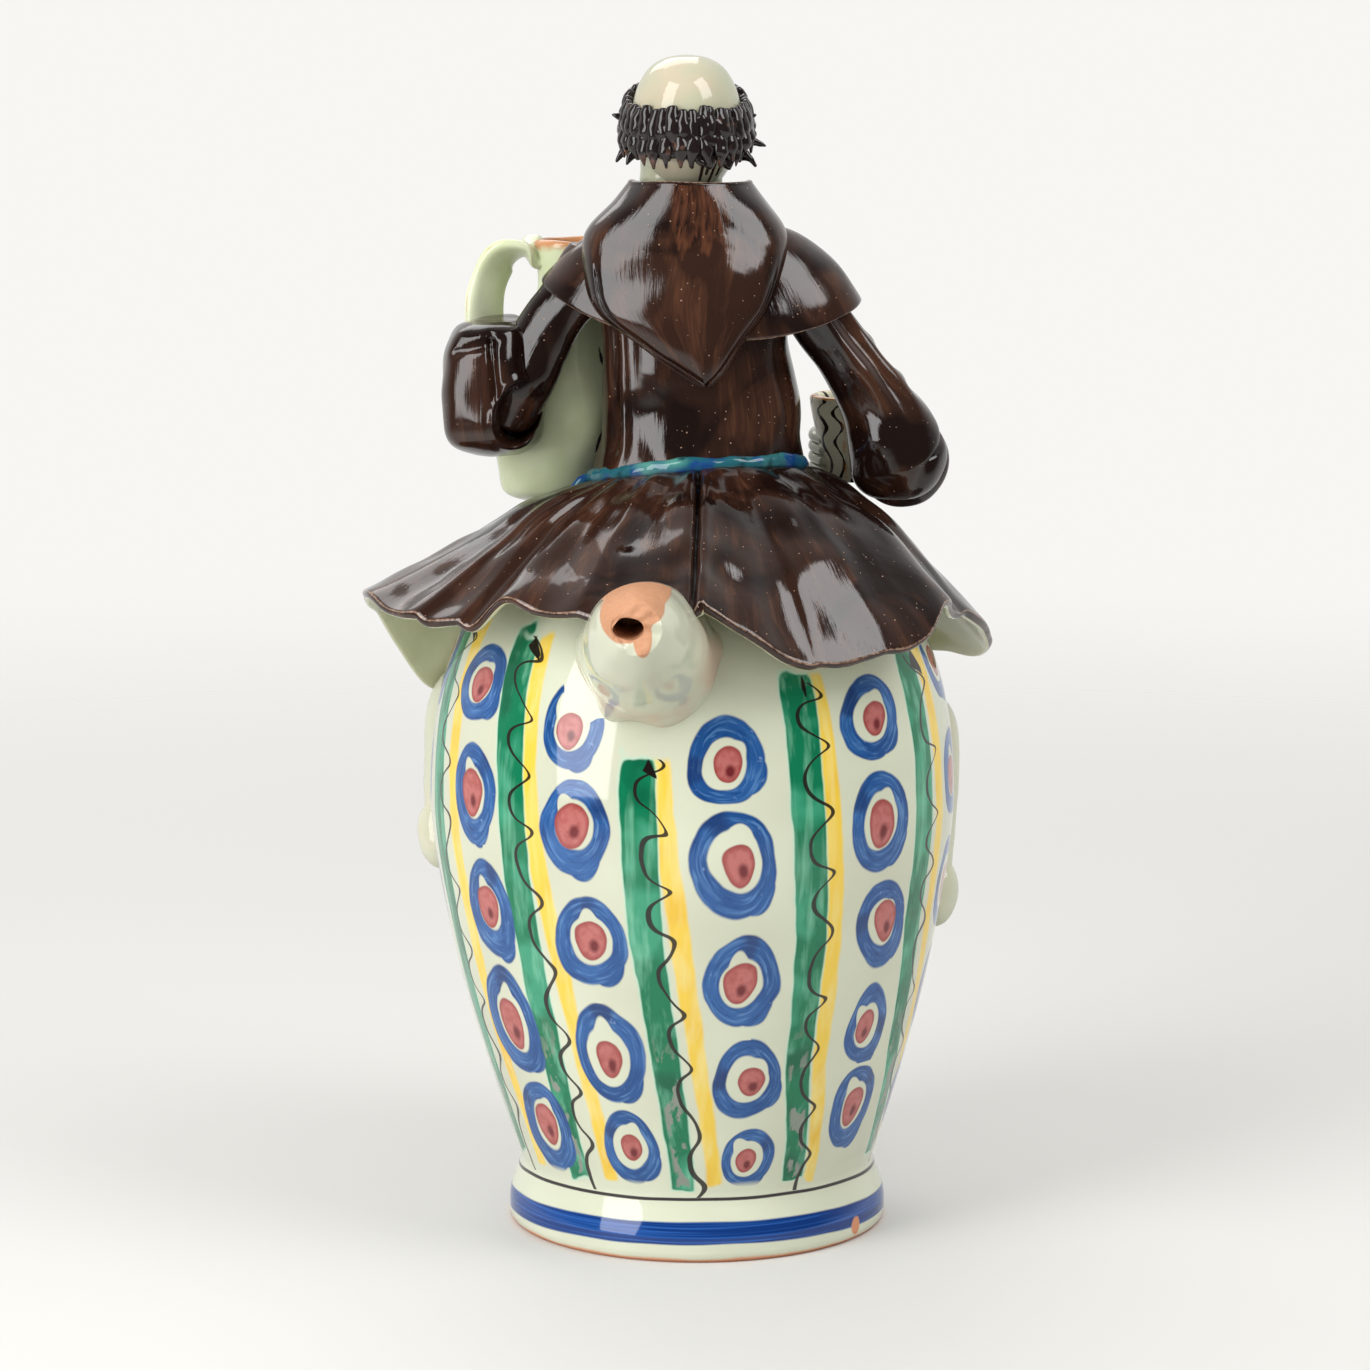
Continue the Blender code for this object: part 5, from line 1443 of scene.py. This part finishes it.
class VASE_OT_head(bpy.types.Operator):
    """Models the neck, the bald head and the ring of hair"""

    bl_idname = "vase.head"
    bl_label = "Head and hair"

    def execute(self, context):
        glaze = face_glaze()
        mesh = new_mesh()
        neck = ((4.4, 0.0, 94.0, 12.0, 10.6), (4.8, 0.0, 104.0, 12.2, 10.8), (4.8, -0.5, 112.0, 11.5, 12.0))

        def drips(u, v):
            """Black glaze that ran down from the hair at the right of the nape."""
            return sum(bump(u, place, 0.010) * ease((v - ends) * 9.0) for place, ends in
                       ((0.285, 0.55), (0.315, 0.25), (0.345, 0.45), (0.37, 0.15), (0.22, 0.72)))

        wrap(mesh, stacked(neck), 140, 50, 0.07, 0.02, {"shade": drips}, (0.0006, 0.006))
        finish_mesh("neck", mesh, glaze)

        cap = 0.01

        def round_head(u):
            """The turn round the head, drawn together in front for a finer face."""
            turn = 2.0 * math.pi * u
            return turn + 0.42 * math.cos(turn)

        def skull(u, v):
            turn = round_head(u)
            z, width, depth = read_curve(HEAD_ROWS, (v - cap) / (1.0 - 2.0 * cap))
            shrink = min(v / cap, (1.0 - v) / cap, 1.0)
            out = face_relief(turn, z)
            return figure(*on_head(turn, (width + out) * shrink, (depth + out) * shrink, z))

        def face_turn(u):
            return off_face(round_head(u))

        def height_of(v):
            return read_curve(HEAD_ROWS, (v - cap) / (1.0 - 2.0 * cap))[0]

        def rose(u, v):
            off = abs(face_turn(u))
            z = height_of(v)
            cheeks = bump(off, 0.62, 0.24) * bump(z, 112.5, 3.0)
            lips = bump(off, 0.0, 0.22) * bump(z, 107.4, 1.3)
            return max(0.75 * cheeks, lips)

        def ink(u, v):
            off = abs(face_turn(u))
            z = height_of(v)
            pupil = bump(off, 0.36, 0.055) * bump(z, 119.6, 0.85)
            lid = bump(off, 0.36, 0.13) * bump(z, 120.9, 0.32)
            brow = bump(off, 0.40, 0.19) * bump(z, 123.6 - 1.2 * (off - 0.4), 0.6)
            # black glaze that ran down the nape from the hair
            aside = (face_turn(u) + 2.0 * math.pi) % (2.0 * math.pi) - math.pi
            drips = [bump(aside, place, 0.05) * ease((z - low) / 1.2) for place, low in
                     ((0.12, 107.0), (0.36, 103.2), (0.50, 105.0), (0.66, 102.6), (0.84, 104.6))]
            return max(pupil, 0.9 * lid, 0.9 * brow, max(drips) * ease((122.0 - z) / 4.0))

        mesh = new_mesh()
        wrap(mesh, skull, 260, 220, 0.11, 0.06, {"rim": rose, "shade": ink})
        finish_mesh("head", mesh, glaze)

        hair = hair_glaze()
        chance = random.Random(3)
        mesh = new_mesh()

        def lift_of(turn):
            """How far a direction looks back: 0 in front and 1 behind."""
            return ease(0.5 + 0.5 * math.sin(turn))

        def fringe_of(turn):
            """How far the hair is cut up into a fringe, clear of the brows: 1 in front."""
            return ease((0.42 - lift_of(turn)) / 0.30)

        def cushion(u, v):
            turn = 2.0 * math.pi * u
            top = 126.5 - 2.6 * lift_of(turn) + 3.2 * fringe_of(turn)
            bottom = 118.5 - 8.0 * lift_of(turn) + 8.0 * fringe_of(turn)
            angle = 2.0 * math.pi * v
            z = 0.5 * (top + bottom) + 0.5 * (top - bottom) * math.sin(angle)
            out = 1.2 + 2.2 * math.cos(angle)
            return figure(*on_head(turn, 16.0 + out, 18.4 + out, z))

        wrap(mesh, cushion, 160, 30, 0.1, 0.03, wobble=(0.0012, 0.003))
        # two rows of locks: straight ribs above, and thicker ends below that turn outward
        for count, first, last, slim, stout, turning in (
                (38, 0.0, 0.74, 1.30, 1.85, 0.9), (30, 0.44, 1.0, 1.4, 2.1, 1.9)):
            for i in range(count):
                turn = 2.0 * math.pi * i / count + chance.uniform(-0.04, 0.04)
                top = 127.6 - 2.6 * lift_of(turn) + 3.0 * fringe_of(turn)
                long = 9.8 + 5.6 * lift_of(turn) - 4.6 * fringe_of(turn)
                start = top - long * first + chance.uniform(-0.7, 0.7)
                end = top - long * last + chance.uniform(-1.4, 0.8)
                sweep = chance.uniform(-0.07, 0.09)
                flick = turning * chance.uniform(0.4, 1.3)
                thick = chance.uniform(slim, stout)
                rows = []
                for k in range(6):
                    t = k / 5.0
                    angle = turn + sweep * t * t
                    out = 0.6 + 2.6 * math.sin(math.pi * (0.14 + 0.60 * t)) + 0.9 * first
                    out += flick * max(t - 0.5, 0.0) ** 1.5
                    size = thick * (0.8 + 0.4 * math.sin(math.pi * t))
                    size *= 1.0 - 0.65 * max(t - 0.6, 0.0) / 0.4
                    spot = on_head(angle, 15.4 + out, 17.7 + out, start + (end - start) * t)
                    rows.append((*spot, 0.8 * size, 1.1 * size))
                hint = Vector((math.cos(turn), math.sin(turn), 0.0))
                wrap(mesh, limb(rows, hint, (0.6, 1.0)), 14, 30, 0.01, 0.02,
                     {"rim": lambda u, v: bump(v, 0.9, 0.3)}, (0.0004, 0.0022))
        # spikes that stand out at the sides: azimuth, height, reach and drop
        for azimuth, z, reach, drop in (
                (90.0, 121.6, 4.6, -0.8), (84.0, 112.6, 3.8, 3.2), (-86.0, 115.0, 6.2, 1.4),
                (-70.0, 111.4, 4.6, 3.0), (-96.0, 121.0, 3.4, -1.2), (62.0, 112.0, 3.0, 3.0)):
            turn = math.radians(90.0 - azimuth)
            rows = []
            for k in range(5):
                t = k / 4.0
                out = 0.8 + reach * t
                spot = on_head(turn, 15.8 + out, 18.2 + out, z - drop * t * t)
                rows.append((*spot, 2.0 - 1.6 * t, 2.4 - 1.9 * t))
            hint = Vector((-math.sin(turn), math.cos(turn), 0.2))
            wrap(mesh, limb(rows, hint, (0.6, 0.8)), 14, 30, 0.01, 0.02, wobble=(0.0003, 0.002))
        # rolled curls at the nape and by the ears: azimuth, height and size
        for azimuth, z, size in (
                (-16.0, 110.8, 4.0), (-38.0, 110.6, 4.2), (-58.0, 111.8, 3.4), (22.0, 112.2, 2.6),
                (60.0, 113.4, 2.4), (-90.0, 116.0, 2.4), (2.0, 112.4, 2.8)):
            turn = math.radians(90.0 - azimuth)
            middle = Vector(on_head(turn, 17.0, 19.4, z))
            side = Vector((-math.sin(turn), math.cos(turn), 0.0))
            rows = []
            for k in range(9):
                t = k / 8.0
                angle = math.radians(-60.0 + 300.0 * t)
                curl = side * math.cos(angle) + Vector((0, 0, 1)) * math.sin(angle)
                spot = middle + curl * size * (0.62 - 0.3 * t)
                spot += Vector((math.cos(turn), math.sin(turn), 0.0)) * 1.6 * t
                rows.append((*spot, size * (0.36 - 0.16 * t), size * (0.42 - 0.18 * t)))
            hint = Vector((math.cos(turn), math.sin(turn), 0.1))
            wrap(mesh, limb(rows, hint, (0.6, 0.8)), 14, 60, 0.01, 0.02, {"rim": lambda u, v: 0.8},
                 (0.0003, 0.003))
        finish_mesh("hair", mesh, hair)
        return {"FINISHED"}


class VASE_OT_vessels(bpy.types.Operator):
    """Turns the jug with its strap handle, and the cup"""

    bl_idname = "vase.vessels"
    bl_label = "Jug and cup"

    def execute(self, context):
        foot = Vector((45.0, -24.0, 6.0))
        belly = 18.5
        tall = 77.0
        profile = ((0.42, 0.0), (0.78, 0.04), (0.91, 0.15), (1.0, 0.32), (0.92, 0.5), (0.649, 0.7),
                   (0.541, 0.82), (0.676, 1.0))

        # where v ends the middle of the foot, the outside, the rim and the inside
        base, outside, rim_end, inside = 0.04, 0.52, 0.58, 0.96

        def turned(foot, radius, height, rows, wall, lean):
            """A vessel from its foot up, over its rim and down inside."""
            def place(u, v):
                turn = 2.0 * math.pi * u
                if v < base:
                    share, r = 0.0, rows[0][0] * radius * v / base
                elif v < outside:
                    r, share = read_curve(rows, (v - base) / (outside - base))
                    r *= radius
                elif v < rim_end:
                    t = math.pi * (v - outside) / (rim_end - outside)
                    r = rows[-1][0] * radius - wall * 0.5 * (1.0 - math.cos(t))
                    share = 1.0 + 0.5 * wall / height * math.sin(t)
                elif v < inside:
                    r, share = read_curve(rows, 1.0 - (v - rim_end) / (inside - rim_end))
                    r = r * radius - wall
                    share = max(share, wall / height)
                else:
                    share, r = wall / height, (rows[0][0] * radius - wall) * (1.0 - v) / (1.0 - inside)
                z = share * height
                return figure(foot[0] - lean * z + r * math.cos(turn), foot[1] + r * math.sin(turn),
                              foot[2] + z)
            return place

        celadon = jug_glaze()

        def strokes(u, v):
            """Loose black strokes down the side that faces the body."""
            z = (v - base) / (outside - base)
            side = abs((u - 0.44 + 0.5) % 1.0 - 0.5)
            drawn = bump(side, 0.035 + 0.02 * math.sin(22.0 * z), 0.012)
            return drawn * ease((z - 0.1) / 0.1) * ease((0.72 - z) / 0.1) if base < v < outside else 0.0

        mesh = new_mesh()
        wrap(mesh, turned(foot, belly, tall, profile, 2.5, 8.5 / tall), 120, 150, 0.115, 0.16,
             {"rim": lambda u, v: ease((v - 0.45) / 0.09), "shade": strokes}, (0.0008, 0.012))
        finish_mesh("jug", mesh, celadon)

        # the strap: from the rim, over and down to the belly
        rim = foot + Vector((-8.5 + 0.85 * 12.5, 0.0, 0.96 * tall))
        spots = [rim + Vector(offset) for offset in (
            (0.0, 0.0, 0.0), (5.0, 1.5, 1.5), (11.5, 3.0, -1.0), (15.5, 4.0, -8.5), (16.8, 4.5, -20.0),
            (15.5, 4.0, -31.0))]
        spots.append(foot + Vector((0.75 * belly, 1.0, 0.42 * tall)))
        rows = [(*spot, 7.0, 2.2) for spot in spots]

        def worn(u, v):
            """Ochre down the strap's middle and along its edges."""
            return max(bump(u, 0.5, 0.05), 0.8 * bump(abs(u - 0.5), 0.5, 0.03)) * ease((0.9 - v) * 3.0)

        mesh = new_mesh()
        wrap(mesh, limb(rows, Vector((0.72, 0.69, 0.0)), (1.0, 1.0), 3.0), 48, 110, 0.03, 0.07,
             {"rim": worn}, (0.0006, 0.009))
        finish_mesh("jug_handle", mesh, celadon)

        cup_rows = ((0.63, 0.0), (0.82, 0.42), (0.93, 0.75), (1.0, 1.0))
        mesh = new_mesh()
        wrap(mesh, turned(Vector((-47.5, -24.0, 11.5)), 13.5, 25.0, cup_rows, 2.2, 0.0), 96, 90, 0.084, 0.06,
             {"rim": lambda u, v: max(0.8 * bump((u - 0.20 + 0.5) % 1.0, 0.5, 0.045), bump(v, 0.54, 0.03))},
             (0.0004, 0.008))
        finish_mesh("cup", mesh, cup_glaze())
        return {"FINISHED"}


class VASE_OT_legs(bpy.types.Operator):
    """Hangs the bare legs and feet on the jar's sides"""

    bl_idname = "vase.legs"
    bl_label = "Legs"

    def execute(self, context):
        shape = context.scene.vase_shape
        skin = shared("plain tin glaze", plain_tin_glaze)
        seat = Vector((0, 0, shape.seat_height))
        for name, side, ankle in (("left_leg", 1.0, 0.116), ("right_leg", -1.0, 0.098)):
            azimuth = side * 116.0
            knee = shape.belly_height + 0.62 * (shape.jar_height - shape.belly_height)
            calf = 0.5 * (knee + ankle)
            rows = []
            for height, swell, out, forward in (
                    (knee, 0.95, -10.0, 0.0), (calf + 0.62 * (knee - calf), 1.05, -5.0, 1.0),
                    (calf + 0.25 * (knee - calf), 1.05, -1.5, 2.0), (calf, 1.0, 2.5, 0.0),
                    (ankle + 0.012, 0.78, 5.0, 0.0), (ankle, 0.72, 6.5, 0.0)):
                spot = (on_jar(azimuth + side * forward, height, out * MM) - seat) / MM
                rows.append((*spot, 9.5 * swell, 9.5 * swell))
            mesh = new_mesh()
            wrap(mesh, limb(rows, Vector((0, 1, 0)), (2.0, 2.0)), 60, 80, 0.06, 0.09, wobble=(0.0005, 0.012))
            heel = (on_jar(azimuth - side * 3.0, ankle - 0.006, 8.5 * MM) - seat) / MM
            foot_turn = math.degrees(0.030 / shape.belly_radius)
            toes = (on_jar(azimuth + side * foot_turn, ankle - 0.014, 11.0 * MM) - seat) / MM
            mid = heel.lerp(toes, 0.5) + Vector((side * 3.0, -1.0, 1.0))
            rows = ((*heel, 6.2, 10.5), (*heel.lerp(mid, 0.55), 6.8, 9.5), (*mid, 7.2, 7.8),
                    (*toes, 8.0, 4.8))
            hint = Vector((side, 0.6, 0.0)).normalized()
            wrap(mesh, limb(rows, hint, (5.2, 4.4), 2.0, 0.14), 60, 60, 0.04, 0.04, wobble=(0.0003, 0.008))
            finish_mesh(name, mesh, skin)
        return {"FINISHED"}


class VASE_OT_stage(bpy.types.Operator):
    """Sets the pale floor, the soft studio lights and the camera"""

    bl_idname = "vase.stage"
    bl_label = "Stage, lights and camera"

    def execute(self, context):
        scene = context.scene
        mesh = bmesh.new()
        bmesh.ops.create_circle(mesh, cap_ends=True, segments=128, radius=1.6)
        data = bpy.data.meshes.new("floor")
        mesh.to_mesh(data)
        mesh.free()
        floor = bpy.data.objects.new("floor", data)
        scene.collection.objects.link(floor)

        # matt white paper that fades into the pale background
        material = bpy.data.materials.new("white paper")
        material.use_nodes = True
        tree = material.node_tree
        shader = tree.nodes["Principled BSDF"]
        shader.inputs["Base Color"].default_value = rgba(linear("#CCCBC8"))
        shader.inputs["Roughness"].default_value = 0.6
        place = add(tree, "TexCoord").outputs["Object"]
        far = vectors(tree, "LENGTH", place).outputs["Value"]
        fade = remap(tree, far, 0.35, 1.35, smooth=True)
        clear = add(tree, "BsdfTransparent")
        mix = add(tree, "MixShader", {0: fade, 1: shader, 2: clear})
        tree.links.new(mix.outputs[0], tree.nodes["Material Output"].inputs["Surface"])
        data.materials.append(material)

        world = bpy.data.worlds.new("studio")
        scene.world = world
        world.use_nodes = True
        tree = world.node_tree
        paper = rgba(linear("#F4F4F2"))
        # the camera sees white paper; the glaze sees a dim room behind the camera and white paper beyond
        path = add(tree, "LightPath")
        away = add(tree, "SeparateXYZ", {0: add(tree, "TexCoord").outputs["Generated"]}).outputs["Y"]
        seen = remap(tree, away, -0.5, 0.2, 0.85, 0.10)
        pale = add(tree, "Background", {0: rgba(linear("#F7F6F3")), 1: 1.0})
        mirrored = add(tree, "Background", {0: paper, 1: seen})
        fill = add(tree, "Background", {0: paper, 1: 0.78})
        mix = add(tree, "MixShader", {0: path.outputs["Is Glossy Ray"], 1: fill, 2: mirrored})
        mix = add(tree, "MixShader", {0: path.outputs["Is Camera Ray"], 1: mix, 2: pale})
        tree.links.new(mix.outputs[0], tree.nodes["World Output"].inputs["Surface"])

        aim = Vector((0.0, 0.0, 0.19))
        # softboxes: name, azimuth, elevation, distance, width, height, radiance
        for name, azimuth, rise, far, width, height, glow in (
                ("left softbox", 48.0, 27.0, 1.25, 0.60, 1.60, 5.6),
                ("right softbox", -56.0, 50.0, 1.15, 0.50, 0.75, 5.6),
                ("front softbox", 165.0, 45.0, 1.5, 1.0, 0.9, 2.2)):
            turn = math.radians(azimuth)
            lift = math.radians(rise)
            level = math.cos(lift)
            spot = aim + Vector((math.sin(turn) * level, math.cos(turn) * level, math.sin(lift))) * far
            lamp = bpy.data.lights.new(name, "AREA")
            lamp.shape = "RECTANGLE"
            lamp.size = width
            lamp.size_y = height
            lamp.energy = glow * math.pi * width * height
            light = bpy.data.objects.new(name, lamp)
            light.location = spot
            light.rotation_euler = (aim - spot).to_track_quat("-Z", "Y").to_euler()
            scene.collection.objects.link(light)

        # the photograph is 1370 pixels wide, and its lens is taken as 4800 pixels long
        lens = bpy.data.cameras.new("camera")
        lens.sensor_width = 36.0
        lens.lens = 4800.0 / 1370.0 * lens.sensor_width
        camera = bpy.data.objects.new("camera", lens)
        # it stands 1.42 m behind the figure and looks 9.7 degrees down
        camera.location = (0.003665, 1.41794, 0.40503)
        camera.rotation_euler = (math.radians(80.3), 0.0, math.pi)
        scene.collection.objects.link(camera)
        scene.camera = camera
        scene.view_settings.view_transform = "Standard"
        return {"FINISHED"}


OPERATORS = (VASE_OT_jar, VASE_OT_spout, VASE_OT_habit, VASE_OT_belt, VASE_OT_arms, VASE_OT_head,
             VASE_OT_vessels, VASE_OT_legs, VASE_OT_stage)


class VASE_PT_sidebar(bpy.types.Panel):
    """Lists the vase's pieces and sizes"""

    bl_idname = "VASE_PT_sidebar"
    bl_label = "Figural vase"
    bl_space_type = "VIEW_3D"
    bl_region_type = "UI"
    bl_category = "Vase"

    def draw(self, context):
        layout = self.layout
        for group in (context.scene.vase_shape, context.scene.vase_colours):
            for key in group.bl_rna.properties.keys():
                if key not in ("rna_type", "name"):
                    layout.prop(group, key)
        for operator in OPERATORS:
            layout.operator(operator.bl_idname)


CLASSES = (VaseShape, VaseColours) + OPERATORS + (VASE_PT_sidebar,)


def register():
    for made in CLASSES:
        bpy.utils.register_class(made)
    bpy.types.Scene.vase_shape = PointerProperty(type=VaseShape)
    bpy.types.Scene.vase_colours = PointerProperty(type=VaseColours)


def unregister():
    del bpy.types.Scene.vase_colours
    del bpy.types.Scene.vase_shape
    for made in reversed(CLASSES):
        bpy.utils.unregister_class(made)


def main():
    register()
    for old in [o for o in bpy.data.objects if o.type in ("CAMERA", "LIGHT")]:
        bpy.data.objects.remove(old)
    bpy.ops.vase.jar()
    bpy.ops.vase.spout()
    bpy.ops.vase.habit()
    bpy.ops.vase.belt()
    bpy.ops.vase.arms()
    bpy.ops.vase.head()
    bpy.ops.vase.vessels()
    bpy.ops.vase.legs()
    bpy.ops.vase.stage()


if __name__ == "__main__":
    main()
